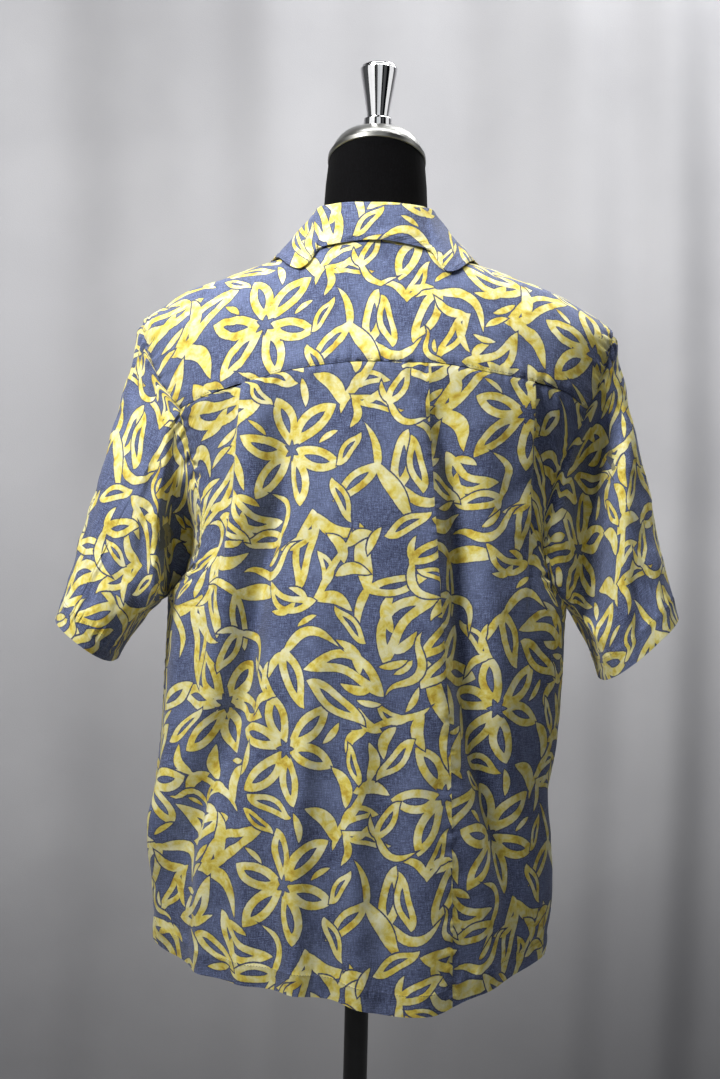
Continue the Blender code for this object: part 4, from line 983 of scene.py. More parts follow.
def scatter():
    """The motifs of the repeat and their places, each tried at random until it has room."""
    draw = random.Random(PRINT_SEED)
    taken = np.zeros(CELLS, bool)
    found = []
    for motif, count, least, greatest in PLAN:
        laid = tries = 0
        while laid < count and tries < MOST_TRIES:
            tries += 1
            x, y = draw.random() * PLAIN_REPEAT[0], draw.random() * PLAIN_REPEAT[1]
            turn = draw.random() * 2 * math.pi
            scale = least + draw.random() * (greatest - least)
            flip = draw.choice((1.0, -1.0))
            cells = covered_cells(motif, (x, y, turn, scale, flip))
            overlap = STRICT_OVERLAP if tries < STRICT_TRIES else LOOSE_OVERLAP
            if taken[cells].mean() < overlap:
                taken[cells] = True
                found.append((motif, (round(x, 3), round(y, 3), round(turn, 2), round(scale, 2),
                                      flip)))
                laid += 1
    return found


def placed_blades():
    """Every blade of the repeat: its motif's number, spine, half width, belly and kind."""
    found = []
    for number, (motif, place) in enumerate(scatter()):
        scale = place[3]
        for spine, half, belly, hollow, cut in MOTIFS[motif]:
            found.append((number, laid_line(spine, *place) * PRINT_SCALE,
                          half * scale * PRINT_WEIGHT, belly, hollow, cut))
    return found


BLADES = placed_blades()


def place_in_face(faces):
    """Each entry's place among those of its own face, in a list sorted by face."""
    first = np.nonzero(np.concatenate([[True], np.diff(faces) > 0]))[0]
    return np.arange(len(faces)) - np.repeat(first, np.diff(np.append(first, len(faces))))


def nearest_blades(centre, reach):
    """The blades that each face keeps, in the order in which they are laid.

    Gives the faces, their blades, and how far each face is moved to stand by
    the blade, because the print repeats.
    """
    repeat = np.array(REPEAT)
    faces, blades, ranks, moves = [], [], [], []
    for index, (_, line, half, belly, _, cut) in enumerate(BLADES):
        middle = (line.min(axis=0) + line.max(axis=0)) / 2
        size = (line.max(axis=0) - line.min(axis=0)) / 2 + half + MOAT + reach
        local = (centre - middle + repeat / 2) % repeat - repeat / 2
        found = np.nonzero(np.all(np.abs(local) < size, axis=-1))[0]
        share, beside = along_blade(local[found] + middle, line, belly)
        gap = np.abs(beside) - half * bulge(share, BLADE_POWER)
        keep = gap < reach + OUTLINE_REACH + (0.0 if cut else MOAT)
        found, gap = found[keep], gap[keep]
        faces.append(found)
        blades.append(np.full(len(found), index))
        ranks.append(gap - (1.0 if cut else 0.0))
        moves.append(local[found] + middle - centre[found])
    faces, blades = np.concatenate(faces), np.concatenate(blades)
    ranks, moves = np.concatenate(ranks), np.concatenate(moves)
    order = np.lexsort((ranks, faces))
    order = order[place_in_face(faces[order]) < SLOTS]
    faces, blades, moves = faces[order], blades[order], moves[order]
    order = np.lexsort((blades, faces))
    return faces[order], blades[order], moves[order]


def print_slots(corners, face_of, face_count):
    """For each corner of each face, its place along and beside up to four blades."""
    counts = np.bincount(face_of, minlength=face_count)
    centre = np.stack([np.bincount(face_of, corners[:, k], face_count) / counts
                       for k in range(2)], axis=-1)
    reach = np.linalg.norm(corners - centre[face_of], axis=-1).max()
    faces, blades, moves = nearest_blades(centre, reach)
    place = place_in_face(faces)
    numbers = np.array([number for number, *_ in BLADES])[blades]
    opens = (place == 0) | np.concatenate([[True], np.diff(numbers) != 0])
    slots = [np.tile(NO_BLADE, (len(corners), 1)) for _ in range(SLOTS)]
    starts = np.concatenate([[0], np.cumsum(counts)])
    widest = int(counts.max())
    for index, (_, line, half, belly, hollow, cut) in enumerate(BLADES):
        rows = np.nonzero(blades == index)[0]
        if not len(rows):
            continue
        code = CODE_HOLLOW * hollow + CODE_FIRST * opens[rows] + CODE_CUT * cut
        z = code + half * WIDTH_SCALE
        for k in range(widest):
            mine = counts[faces[rows]] > k
            corner = starts[faces[rows[mine]]] + k
            share, beside = along_blade(corners[corner] + moves[rows[mine]], line, belly)
            value = np.stack([share, beside, z[mine]], axis=-1)
            for slot in range(SLOTS):
                here = place[rows[mine]] == slot
                slots[slot][corner[here]] = value[here]
    return slots


# --- relief of the cloth ---------------------------------------------------
def waves(across, along_, seed, length, turn_spread=math.pi, count=9):
    """A smooth uneven surface, about -1 to 1, with bumps of about the given length."""
    rng = np.random.default_rng(seed)
    total = np.zeros(np.broadcast(across, along_).shape)
    for _ in range(count):
        angle = rng.uniform(-turn_spread / 2, turn_spread / 2)
        rate = 2 * math.pi / (length * rng.uniform(0.7, 1.5))
        total = total + np.sin(rate * (across * math.cos(angle) + along_ * math.sin(angle))
                               + rng.uniform(0, 2 * math.pi))
    return total / math.sqrt(count)


def pucker(distance, way, seed, height=0.0007, pitch=0.013, hold=0.0045):
    """Gathers beside a line of stitches: they start from it and run out again."""
    rise = distance / hold * np.exp(1 - distance / hold)
    return height * rise * (0.55 + 0.75 * waves(way, way * 0.0, seed, pitch, 0.0, 5))


def edge_ways(points):
    """Distances over the cloth of each point from the first and last row and column."""
    down = np.linalg.norm(np.diff(points, axis=0), axis=-1)
    over = np.linalg.norm(np.diff(points, axis=1), axis=-1)
    first_row = np.concatenate([np.zeros((1, points.shape[1])), np.cumsum(down, axis=0)])
    first_column = np.concatenate([np.zeros((points.shape[0], 1)), np.cumsum(over, axis=1)], axis=1)
    return first_row, first_row[-1] - first_row, first_column, first_column[:, -1:] - first_column


def gauss(x, middle, width):
    return np.exp(-((x - middle) / width) ** 2)


# --- meshes ----------------------------------------------------------------
def put(name, data):
    """An object of a mesh, curve, lamp or camera, in place of an older one of its name."""
    old = bpy.data.objects.get(name)
    if old is not None:
        bpy.data.objects.remove(old)
    made = bpy.data.objects.new(name, data)
    bpy.context.scene.collection.objects.link(made)
    return made


def finished(name, mesh, material, sharp):
    """A piece in its material, smooth but for edges sharper than an angle in degrees."""
    mesh.materials.append(material)
    mesh.shade_smooth()
    mesh.set_sharp_from_angle(angle=math.radians(sharp))
    return put(name, mesh)


def store(mesh, name, kind, domain, values):
    """Keep a number or a vector for each point or corner of a mesh."""
    field = "value" if kind == "FLOAT" else "vector"
    mesh.attributes.new(name, kind, domain).data.foreach_set(
        field, values.astype(np.float32).ravel())


def cloth_corners(shape, around):
    """Corner places (row, column, layer) of every face of a cloth wall.

    The outer layer has every row and column, the inner layer every second.
    """
    rows, columns = shape

    def squares(step, layer, corners):
        i, j = np.meshgrid(np.arange(0, rows - 1, step), np.arange(0, columns - 1, step),
                           indexing="ij")
        first = np.stack([i.ravel(), j.ravel(), np.full(i.size, layer)], axis=-1)
        return first[:, None] + np.array([(down * step, over * step, 0) for down, over in corners])

    outer = squares(1, 0, ((0, 0), (0, 1), (1, 1), (1, 0)))
    inner = squares(2, 1, ((1, 0), (1, 1), (0, 1), (0, 0)))
    # a face of the rim has three corners on the outer layer and two on the inner one
    forward, backward, layers = (0, 1, 2, 2, 0), (2, 1, 0, 0, 2), (0, 0, 0, 1, 1)
    rims = []
    for start in range(0, columns - 1, 2):
        for row, steps in ((0, backward), (rows - 1, forward)):
            rims.append([(row, start + step, layer) for step, layer in zip(steps, layers)])
    if not around:
        for start in range(0, rows - 1, 2):
            for column, steps in ((0, forward), (columns - 1, backward)):
                rims.append([(start + step, column, layer) for step, layer in zip(steps, layers)])
    return list(outer) + list(inner) + [np.array(r) for r in rims], len(outer)


def lay_flat(points, row, column):
    """Places on the flat cloth: distance across from a column, and along from a row."""
    up, _, over, _ = edge_ways(points)
    return np.stack([over - over[:, column:column + 1], up - up[row:row + 1]], axis=-1)


def lay_sleeve(points, over):
    """Places on a sleeve's flat cut: columns run up from the straight hem, side by side."""
    _, up, _, _ = edge_ways(points)
    reach = np.linalg.norm(np.diff(points, axis=1), axis=-1)
    rise = np.diff(up, axis=1)
    wide = np.sqrt(np.maximum(reach ** 2 - rise ** 2, (0.3 * reach) ** 2))
    across = np.concatenate([np.zeros((len(points), 1)), np.cumsum(wide, axis=1)], axis=1)
    return np.stack([across - across[:, over:over + 1], up], axis=-1)


def within(points, normals):
    """The inner face's points, moved in so that its wider faces stay behind the cloth."""
    sag = np.zeros(points.shape[:2])
    sag[:, 1:-1] += np.maximum(0.0, np.einsum(
        "ijk,ijk->ij", (points[:, 2:] + points[:, :-2]) / 2 - points[:, 1:-1], normals[:, 1:-1]))
    sag[1:-1] += np.maximum(0.0, np.einsum(
        "ijk,ijk->ij", (points[2:] + points[:-2]) / 2 - points[1:-1], normals[1:-1]))
    wide = np.pad(sag, 1, mode="edge")
    most = np.max([wide[a:a + sag.shape[0], b:b + sag.shape[1]]
                   for a in range(3) for b in range(3)], axis=0)
    return points - normals * np.minimum(most, 0.004)[:, :, None]


def sew(name, middle, normals, flat, seams, around=False, join=None):
    """A closed wall of the printed cloth about a grid, its print laid on, its seams marked.

    join is (column, (across, along)): from that column on the cloth is another
    width, and its print is moved by so much.
    """
    material = shared("Printed chambray", printed_cloth)
    half = workshop().cloth.wall / 2
    if around:
        middle = np.concatenate([middle, middle[:, :1]], axis=1)
        normals = np.concatenate([normals, normals[:, :1]], axis=1)
    rows, columns = middle.shape[:2]
    wide = columns - 1 if around else columns
    outer, inner = (middle + normals * half)[:, :wide], within(middle - normals * half, normals)
    inner = inner[::2, :wide:2]
    wide_inner = inner.shape[1]
    vertices = np.concatenate([outer.reshape(-1, 3), inner.reshape(-1, 3)])
    places, outer_count = cloth_corners((rows, columns), around)
    a, b = rows // 2, columns // 2
    facing = np.cross(middle[a, b + 1] - middle[a, b], middle[a + 1, b] - middle[a, b])
    if np.dot(facing, normals[a, b]) < 0:
        places = [p[::-1] for p in places]
    sizes = np.array([len(p) for p in places])
    corners = np.concatenate(places)
    face_of = np.repeat(np.arange(len(places)), sizes)
    i, j, layer = corners.T
    ids = np.where(layer == 0, i * wide + j % wide,
                   len(outer.reshape(-1, 3)) + (i // 2) * wide_inner + (j // 2) % wide_inner)
    starts = np.concatenate([[0], np.cumsum(sizes)])
    faces = [ids[s:e].tolist() for s, e in zip(starts[:-1], starts[1:])]
    mesh = bpy.data.meshes.new(name)
    mesh.from_pydata(vertices.tolist(), [], faces)
    laid = flat[i, j]
    if join is not None:
        column, move = join
        low = np.array([p[:, 1].min() for p in places])
        laid = laid + np.where((low >= column)[face_of][:, None], np.array(move), 0.0)
    uv = mesh.uv_layers.new(name="cloth")
    uv.data.foreach_set("uv", laid.astype(np.float32).ravel())
    for index, values in enumerate(print_slots(laid, face_of, len(places))):
        store(mesh, f"blade {index + 1}", "FLOAT_VECTOR", "CORNER", values)
    marks = np.concatenate([seams[:, :wide].reshape(-1, 3), seams[::2, :wide:2].reshape(-1, 3)])
    store(mesh, "gathers", "FLOAT_VECTOR", "POINT", marks)
    inside = (np.arange(len(places)) >= outer_count) & (sizes == 4)
    store(mesh, "reverse", "FLOAT", "CORNER", inside[face_of])
    return finished(name, mesh, material, 50.0)


def lathe(name, profile, steps, material, centre=(0.0, 0.0, 0.0)):
    """A turned piece from a profile of (radius, height), which starts and ends on its axis."""
    shape = bmesh.new()
    rings = []
    turns = np.linspace(0.0, 2 * math.pi, steps, endpoint=False)
    for radius, height in profile:
        if radius < 1e-6:
            rings.append([shape.verts.new((centre[0], centre[1], centre[2] + height))])
        else:
            rings.append([shape.verts.new((centre[0] + radius * math.cos(t),
                                           centre[1] + radius * math.sin(t),
                                           centre[2] + height)) for t in turns])
    for low, high in zip(rings[:-1], rings[1:]):
        for k in range(steps):
            n = (k + 1) % steps
            if len(low) == 1:
                shape.faces.new((low[0], high[k], high[n]))
            elif len(high) == 1:
                shape.faces.new((low[k], low[n], high[0]))
            else:
                shape.faces.new((low[k], low[n], high[n], high[k]))
    return solid_from(name, shape, material)


def solid_from(name, shape, material, sharp=35.0):
    bmesh.ops.recalc_face_normals(shape, faces=shape.faces)
    mesh = bpy.data.meshes.new(name)
    shape.to_mesh(mesh)
    shape.free()
    return finished(name, mesh, material, sharp)


def rings_solid(name, rings, material, sharp=35.0):
    """A solid through closed rings of points, with flat ends."""
    shape = bmesh.new()
    loops = [[shape.verts.new(p) for p in ring] for ring in rings]
    count = len(loops[0])
    shape.faces.new(loops[0][::-1])
    shape.faces.new(loops[-1])
    for low, high in zip(loops[:-1], loops[1:]):
        for k in range(count):
            n = (k + 1) % count
            shape.faces.new((low[k], low[n], high[n], high[k]))
    return solid_from(name, shape, material, sharp)


def rounded(profile, radius, steps=4):
    """A profile with its inner corners rounded off by the radius, where they have room."""
    points = [np.array(p, float) for p in profile]
    out = [tuple(points[0])]
    for before, here, after in zip(points[:-2], points[1:-1], points[2:]):
        back, on = before - here, after - here
        room = min(np.linalg.norm(back), np.linalg.norm(on)) * 0.45
        cut = min(radius, room)
        start, end = here + unit(back) * cut, here + unit(on) * cut
        for t in np.linspace(0.0, 1.0, steps + 1):
            out.append(tuple(start * (1 - t) ** 2 + here * 2 * t * (1 - t) + end * t * t))
    out.append(tuple(points[-1]))
    return out


# --- materials -------------------------------------------------------------
class Nodes:
    """Makes and joins the nodes of one tree."""

    def __init__(self, tree):
        self.tree = tree

    def new(self, kind, settings=None, **inputs):
        made = self.tree.nodes.new(kind)
        for name, value in (settings or {}).items():
            setattr(made, name, value)
        return self.fill(made, **inputs)

    def fill(self, made, **inputs):
        """Feed a node's sockets by name, where _ stands for a blank."""
        for name, value in inputs.items():
            self.feed(made.inputs[name.replace("_", " ")], value)
        return made

    def feed(self, socket, value):
        if isinstance(value, bpy.types.NodeSocket):
            self.tree.links.new(value, socket)
        else:
            socket.default_value = value

    def math(self, operation, *values):
        made = self.new("ShaderNodeMath", {"operation": operation})
        for socket, value in zip(made.inputs, values):
            self.feed(socket, value)
        return made.outputs[0]

    def plus(self, first, second):
        return self.math("ADD", first, second)

    def minus(self, first, second):
        return self.math("SUBTRACT", first, second)

    def times(self, first, second):
        return self.math("MULTIPLY", first, second)

    def most(self, first, second):
        return self.math("MAXIMUM", first, second)

    def least(self, first, second):
        return self.math("MINIMUM", first, second)

    def raised(self, base, value, share):
        """The base, and a share of the value on it."""
        return self.plus(base, self.times(value, share))

    def blend(self, first, first_share, second, second_share):
        return self.plus(self.times(first, first_share), self.times(second, second_share))

    def mix(self, factor, first, second, blend="MIX"):
        made = self.new("ShaderNodeMix", {"data_type": "RGBA", "blend_type": blend})
        self.feed(made.inputs[0], factor)
        self.feed(made.inputs[6], first)
        self.feed(made.inputs[7], second)
        return made.outputs[2]

    def noise(self, place, scale, detail=2.0, roughness=0.5, distortion=0.0):
        return self.new("ShaderNodeTexNoise", None, Vector=place, Scale=scale, Detail=detail,
                        Roughness=roughness, Distortion=distortion).outputs["Fac"]

    def bands(self, place, axis, scale, distortion):
        return self.new("ShaderNodeTexWave", {"wave_type": "BANDS", "bands_direction": axis},
                        Vector=place, Scale=scale, Distortion=distortion).outputs["Fac"]

    def stretched(self, place, scale):
        return self.new("ShaderNodeMapping", None, Vector=place, Scale=scale).outputs[0]

    def ramp(self, value, low, high):
        """0 below low, 1 above high, smooth between."""
        return self.new("ShaderNodeMapRange", {"interpolation_type": "SMOOTHSTEP"}, Value=value,
                        From_Min=low, From_Max=high).outputs[0]

    def colours(self, value, stops):
        made = self.new("ShaderNodeValToRGB", None, Fac=value)
        ramp = made.color_ramp
        while len(ramp.elements) < len(stops):
            ramp.elements.new(0.5)
        for element, (place, colour) in zip(ramp.elements, stops):
            element.position, element.color = place, colour
        return made.outputs[0]

    def stored(self, name, output="Vector"):
        """What the mesh keeps under a name."""
        return self.new("ShaderNodeAttribute", {"attribute_name": name}).outputs[output]


def material_with(name):
    """A new material, its nodes, its shader and the object coordinates."""
    old = bpy.data.materials.get(name)
    if old is not None:
        bpy.data.materials.remove(old)
    material = bpy.data.materials.new(name)
    material.use_nodes = True
    shader = material.node_tree.nodes["Principled BSDF"]
    nodes = Nodes(material.node_tree)
    place = nodes.new("ShaderNodeTexCoord").outputs["Object"]
    return material, nodes, shader, place


def shared(name, make):
    """A material that several pieces wear, made once."""
    return bpy.data.materials.get(name) or make()


def new_tree(name, kind, inputs, outputs):
    """A node tree with named sockets, its nodes, and both of its ends."""
    tree = bpy.data.node_groups.new(name, kind)
    for way, sockets in (("INPUT", inputs), ("OUTPUT", outputs)):
        for label, holds in sockets.items():
            tree.interface.new_socket(label, in_out=way, socket_type="NodeSocket" + holds)
    nodes = Nodes(tree)
    return tree, nodes, nodes.new("NodeGroupInput"), nodes.new("NodeGroupOutput")


def bump(nodes, shader, height, distance, strength=1.0, **under):
    """Relief of a height; under may name the Normal that it lies on."""
    made = nodes.new("ShaderNodeBump", None, Height=height, Distance=distance, Strength=strength,
                     **under)
    nodes.feed(shader.inputs["Normal"], made.outputs[0])


def blade_group():
    """Node group that lays one stored blade over the motifs before it.

    Older motifs and the motif being drawn are kept apart, so that a moat is
    cut round the whole of a motif that lies over another.
    """
    name = "Motif blade"
    if name in bpy.data.node_groups:
        return bpy.data.node_groups[name]
    group, n, given, result = new_tree(
        name, "ShaderNodeTree", {"Older": "Float", "Current": "Float", "Blade": "Vector"},
        {"Older": "Float", "Current": "Float"})
    older, current = given.outputs["Older"], given.outputs["Current"]
    split = n.new("ShaderNodeSeparateXYZ", None, Vector=given.outputs["Blade"])
    share, beside, packed = split.outputs
    code = n.math("FLOOR", n.plus(packed, CODE_GUARD))
    half = n.math("DIVIDE", n.minus(packed, code), WIDTH_SCALE)
    beside = n.math("ABSOLUTE", beside)

    def bulged(value, power):
        q = n.times(n.times(value, 4.0), n.minus(1.0, value))
        full = n.math("POWER", n.most(q, 0.0), power)
        return n.plus(full, n.least(q, 0.0))

    hollow = n.math("MODULO", code, CODE_FIRST)
    cut = n.math("GREATER_THAN", code, CODE_CUT - 0.5)
    first = n.math("GREATER_THAN", n.minus(code, n.times(cut, CODE_CUT)), CODE_FIRST - 0.5)
    gap = n.minus(beside, n.times(half, bulged(share, BLADE_POWER)))
    inner = n.math("DIVIDE", n.minus(share, HOLLOW_START), HOLLOW_SPAN)
    room = n.minus(n.times(n.times(half, HOLLOW_WIDTH), bulged(inner, HOLLOW_POWER)), beside)
    room = n.minus(room, n.times(n.minus(1.0, hollow), FAR))
    shape = n.most(gap, room)
    merged = n.least(older, n.plus(current, n.times(n.minus(1.0, first), FAR)))
    begun = n.most(current, n.minus(n.times(first, 2 * FAR), FAR))
    clear = n.minus(n.minus(MOAT, gap), n.times(cut, FAR))
    laid = n.least(begun, n.plus(shape, n.times(cut, FAR)))
    opened = n.minus(n.times(gap, -1.0), n.times(n.minus(1.0, cut), FAR))
    n.fill(result, Older=n.most(merged, clear), Current=n.most(laid, opened))
    return group


def motif_gap(n, flat):
    """Distance from the nearest outline of the motifs, under 0 inside, a little bled."""
    older, current = FAR, FAR
    for index in range(SLOTS):
        blades = n.stored(f"blade {index + 1}")
        layer = n.new("ShaderNodeGroup", {"node_tree": blade_group()}, Older=older,
                      Current=current, Blade=blades)
        older, current = layer.outputs
    bleed = n.times(n.minus(n.noise(flat, 420.0, 3.0), 0.5), 0.0011)
    return n.plus(n.least(older, current), bleed)


def slubs(n, flat):
    """Uneven threads that run across and along the cloth."""
    across = n.noise(n.stretched(flat, (110.0, 1100.0, 1.0)), 1.0, 2.5, 0.65)
    along_ = n.noise(n.stretched(flat, (1100.0, 110.0, 1.0)), 1.0, 2.5, 0.65)
    fleck = n.noise(n.stretched(flat, (950.0, 950.0, 1.0)), 1.0, 2.0, 0.7)
    return n.blend(n.blend(across, 0.5, along_, 0.5), 0.65, fleck, 0.35)


def ground_colour(n, flat, slub, settings):
    """Blue chambray, flecked by its threads and washed out in patches."""
    pale = tuple(settings.ground_pale)
    wash = n.noise(flat, 16.0, 3.0, 0.55)
    ground = n.mix(n.ramp(slub, 0.41, 0.52), tuple(settings.ground_deep), tuple(settings.ground))
    ground = n.mix(n.ramp(slub, 0.50, 0.60), ground, pale)
    return n.mix(n.times(n.ramp(wash, 0.35, 0.7), 0.35), ground, pale)


def dye_colour(n, flat, slub, settings):
    """Yellow dye, blotched from mustard to cream, with the ground's threads in it."""
    blotch = n.noise(flat, 85.0, 4.0, 0.62, 0.35)
    drift = n.noise(flat, 26.0, 2.0)
    dye = n.colours(n.blend(blotch, 0.72, drift, 0.28), (
        (0.36, tuple(settings.dye_deep)), (0.45, tuple(settings.dye)),
        (0.54, tuple(settings.dye_pale)), (0.66, tuple(settings.dye_bare))))
    return n.mix(n.times(n.minus(1.0, n.ramp(slub, 0.28, 0.5)), 0.22), dye,
                 tuple(settings.ground_pale))


def cloth_bump(n, shader, flat, slub):
    """The weave, the cloth's crumples, and its gathers close beside the seams."""
    crumple = n.noise(flat, 55.0, 4.0, 0.6)
    threads = n.plus(n.bands(flat, "X", 380.0, 1.5), n.bands(flat, "Y", 380.0, 1.5))
    weave = n.blend(threads, 0.25, slub, 0.5)
    distance, way, pull = n.new("ShaderNodeSeparateXYZ", None, Vector=n.stored("gathers")).outputs
    near = n.math("POWER", 2.0, n.times(distance, -260.0))
    gathered = n.noise(n.new("ShaderNodeCombineXYZ", None, X=n.times(way, 150.0),
                             Y=n.times(distance, 45.0)).outputs[0], 1.0, 1.0)
    gathered = n.times(n.times(gathered, near), pull)
    crumple = n.raised(crumple, gathered, 7.0)
    soft = n.new("ShaderNodeBump", None, Height=crumple, Distance=0.0016, Strength=0.7)
    bump(n, shader, weave, 0.00022, 0.7, Normal=soft.outputs[0])


def printed_cloth():
    """Chambray with blotched motifs resist-dyed into its ground."""
    settings = workshop().print
    material, n, shader, _ = material_with("Printed chambray")
    flat = n.new("ShaderNodeUVMap", {"uv_map": "cloth"}).outputs[0]
    gap = motif_gap(n, flat)
    inked = n.minus(1.0, n.ramp(gap, -0.00025, 0.00030))
    edge = n.minus(1.0, n.ramp(n.math("ABSOLUTE", n.minus(gap, 0.00045)), 0.00020, 0.00085))
    slub = slubs(n, flat)
    ground = ground_colour(n, flat, slub, settings)
    dye = dye_colour(n, flat, slub, settings)
    colour = n.mix(inked, ground, dye)
    colour = n.mix(n.times(edge, 0.62), colour, tuple(settings.outline))
    wrong_side = n.stored("reverse", "Fac")
    faded = n.mix(0.72, colour, tuple(settings.reverse))
    colour = n.mix(wrong_side, colour, faded)
    n.fill(shader, Base_Color=colour, Roughness=n.raised(0.74, slub, 0.22), Sheen_Weight=0.12,
           Sheen_Roughness=0.5, Specular_IOR_Level=0.28)
    cloth_bump(n, shader, flat, slub)
    return material


def jersey():
    """Black knitted jersey over the form."""
    material, n, shader, place = material_with("Black jersey")
    rib = n.bands(place, "X", 230.0, 1.2)
    knit = n.noise(n.stretched(place, (900.0, 900.0, 420.0)), 1.0, 2.0)
    lint = n.noise(place, 260.0, 5.0, 0.7)
    height = n.blend(rib, 0.4, knit, 0.6)
    colour = n.mix(n.ramp(knit, 0.3, 0.75), (0.0015, 0.0015, 0.0018, 1.0),
                   (0.0042, 0.0042, 0.0050, 1.0))
    colour = n.mix(n.times(n.ramp(lint, 0.66, 0.78), 0.35), colour, (0.05, 0.05, 0.055, 1.0))
    n.fill(shader, Base_Color=colour, Roughness=n.raised(0.80, knit, 0.15), Sheen_Weight=0.015,
           Sheen_Roughness=0.45, Specular_IOR_Level=0.06)
    bump(n, shader, height, 0.0004, 0.6)
    return material


def satin_metal():
    """Brushed pewter-coloured metal."""
    material, n, shader, place = material_with("Satin pewter")
    brushed = n.noise(n.stretched(place, (60.0, 60.0, 2600.0)), 1.0, 3.0, 0.6)
    stain = n.noise(place, 45.0, 3.0)
    colour = n.mix(n.ramp(stain, 0.3, 0.7), (0.21, 0.21, 0.20, 1.0), (0.30, 0.30, 0.285, 1.0))
    n.fill(shader, Base_Color=colour, Metallic=1.0, Roughness=n.raised(0.27, brushed, 0.14))
    bump(n, shader, brushed, 0.00004, 0.35)
    return material


def chrome():
    """Bright plating with the faint waves and rubs of handling."""
    material, n, shader, place = material_with("Chrome")
    smear = n.noise(place, 70.0, 4.0, 0.6)
    colour = n.mix(n.ramp(smear, 0.4, 0.8), (0.83, 0.83, 0.84, 1.0), (0.75, 0.75, 0.76, 1.0))
    rough = n.raised(0.035, n.ramp(smear, 0.5, 0.9), 0.08)
    n.fill(shader, Base_Color=colour, Metallic=1.0, Roughness=rough)
    bump(n, shader, n.noise(place, 160.0, 2.0), 0.00003, 0.2)
    return material


def black_paint():
    """Black powder coat with a fine orange peel, worn a little on its edges."""
    material, n, shader, place = material_with("Black powder coat")
    peel = n.noise(place, 900.0, 2.0, 0.55)
    rub = n.noise(place, 35.0, 5.0, 0.65)
    edge = n.new("ShaderNodeNewGeometry").outputs["Pointiness"]
    worn = n.times(n.ramp(edge, 0.53, 0.60), n.ramp(rub, 0.45, 0.7))
    colour = n.mix(n.ramp(rub, 0.35, 0.75), (0.0075, 0.0075, 0.008, 1.0),
                   (0.014, 0.014, 0.0145, 1.0))
    colour = n.mix(n.times(worn, 0.4), colour, (0.10, 0.10, 0.10, 1.0))
    n.fill(shader, Base_Color=colour, Roughness=n.raised(0.34, rub, 0.16))
    bump(n, shader, peel, 0.00012, 0.35)
    return material


def shell_button():
    """Brown imitation coconut shell, streaked and softly polished."""
    material, n, shader, place = material_with("Button shell")
    streak = n.noise(n.stretched(place, (420.0, 420.0, 1400.0)), 1.0, 4.0, 0.6, 0.6)
    fleck = n.noise(place, 1500.0, 2.0)
    colour = n.colours(streak, (
        (0.30, (0.050, 0.032, 0.020, 1.0)), (0.50, (0.130, 0.088, 0.052, 1.0)),
        (0.72, (0.300, 0.225, 0.140, 1.0))))
    colour = n.mix(n.times(n.ramp(fleck, 0.62, 0.74), 0.5), colour, (0.42, 0.34, 0.22, 1.0))
    n.fill(shader, Base_Color=colour, Roughness=n.raised(0.28, streak, 0.2))
    bump(n, shader, streak, 0.00008, 0.4)
    return material


def sewing_thread():
    """Blue-grey polyester thread, twisted."""
    material, n, shader, place = material_with("Sewing thread")
    twist = n.noise(place, 3200.0, 2.0)
    shade = n.noise(place, 120.0, 2.0)
    colour = n.mix(n.ramp(twist, 0.35, 0.7), (0.030, 0.036, 0.070, 1.0),
                   (0.090, 0.105, 0.165, 1.0))
    colour = n.mix(n.times(n.ramp(shade, 0.4, 0.7), 0.3), colour, (0.13, 0.14, 0.19, 1.0))
    n.fill(shader, Base_Color=colour, Roughness=n.raised(0.5, twist, 0.2))
    bump(n, shader, twist, 0.0001, 0.5)
    return material


# --- settings that a user would change -------------------------------------
def colour_setting(name, description, *default):
    return FloatVectorProperty(name=name, description=description, default=(*default, 1.0),
                               size=4, subtype="COLOR", min=0.0, max=1.0)


def length_setting(name, description, default, low, high):
    return FloatProperty(name=name, description=description, default=default, min=low, max=high,
                         unit="LENGTH")


def strength_setting(name, description, high):
    return FloatProperty(name=name, description=description, default=1.0, min=0.0, max=high,
                         subtype="FACTOR")


class ClothSettings(bpy.types.PropertyGroup):
    """Sizes of the cloth, its folds and its stitches."""

    wall: length_setting("Cloth wall", "Thickness of one layer of the cloth",
                         0.0009, 0.0004, 0.002)
    folds: strength_setting("Folds", "How deep the soft folds are, 1 as sewn", 1.5)
    gathers: strength_setting("Gathers", "How strongly the seams pucker, 1 as sewn", 2.0)
    stitch: length_setting("Stitch length", "Length of one stitch that shows",
                           0.0021, 0.001, 0.004)
    stitch_pitch: length_setting("Stitch pitch", "From one stitch to the next",
                                 0.0029, 0.0015, 0.006)
    thread: length_setting("Thread width", "Width of the sewing thread", 0.00042, 0.0002, 0.001)


class PrintSettings(bpy.types.PropertyGroup):
    """Colours of the printed cloth."""

    ground: colour_setting("Ground", "Blue of the cloth between the motifs", 0.084, 0.106, 0.208)
    ground_deep: colour_setting("Deep ground", "Darkest threads of the ground",
                                0.030, 0.037, 0.082)
    ground_pale: colour_setting("Pale ground", "Palest threads of the ground",
                                0.195, 0.245, 0.425)
    dye: colour_setting("Motif", "Yellow of the motifs", 0.740, 0.620, 0.110)
    dye_deep: colour_setting("Deep motif", "Mustard blotches in the motifs", 0.540, 0.370, 0.035)
    dye_pale: colour_setting("Pale motif", "Cream blotches in the motifs", 0.800, 0.740, 0.330)
    dye_bare: colour_setting("Bare motif", "Palest cream in the motifs", 0.880, 0.860, 0.600)
    outline: colour_setting("Outline", "Navy line round each motif", 0.020, 0.024, 0.060)
    reverse: colour_setting("Wrong side", "Cast of the cloth's wrong side", 0.072, 0.078, 0.085)


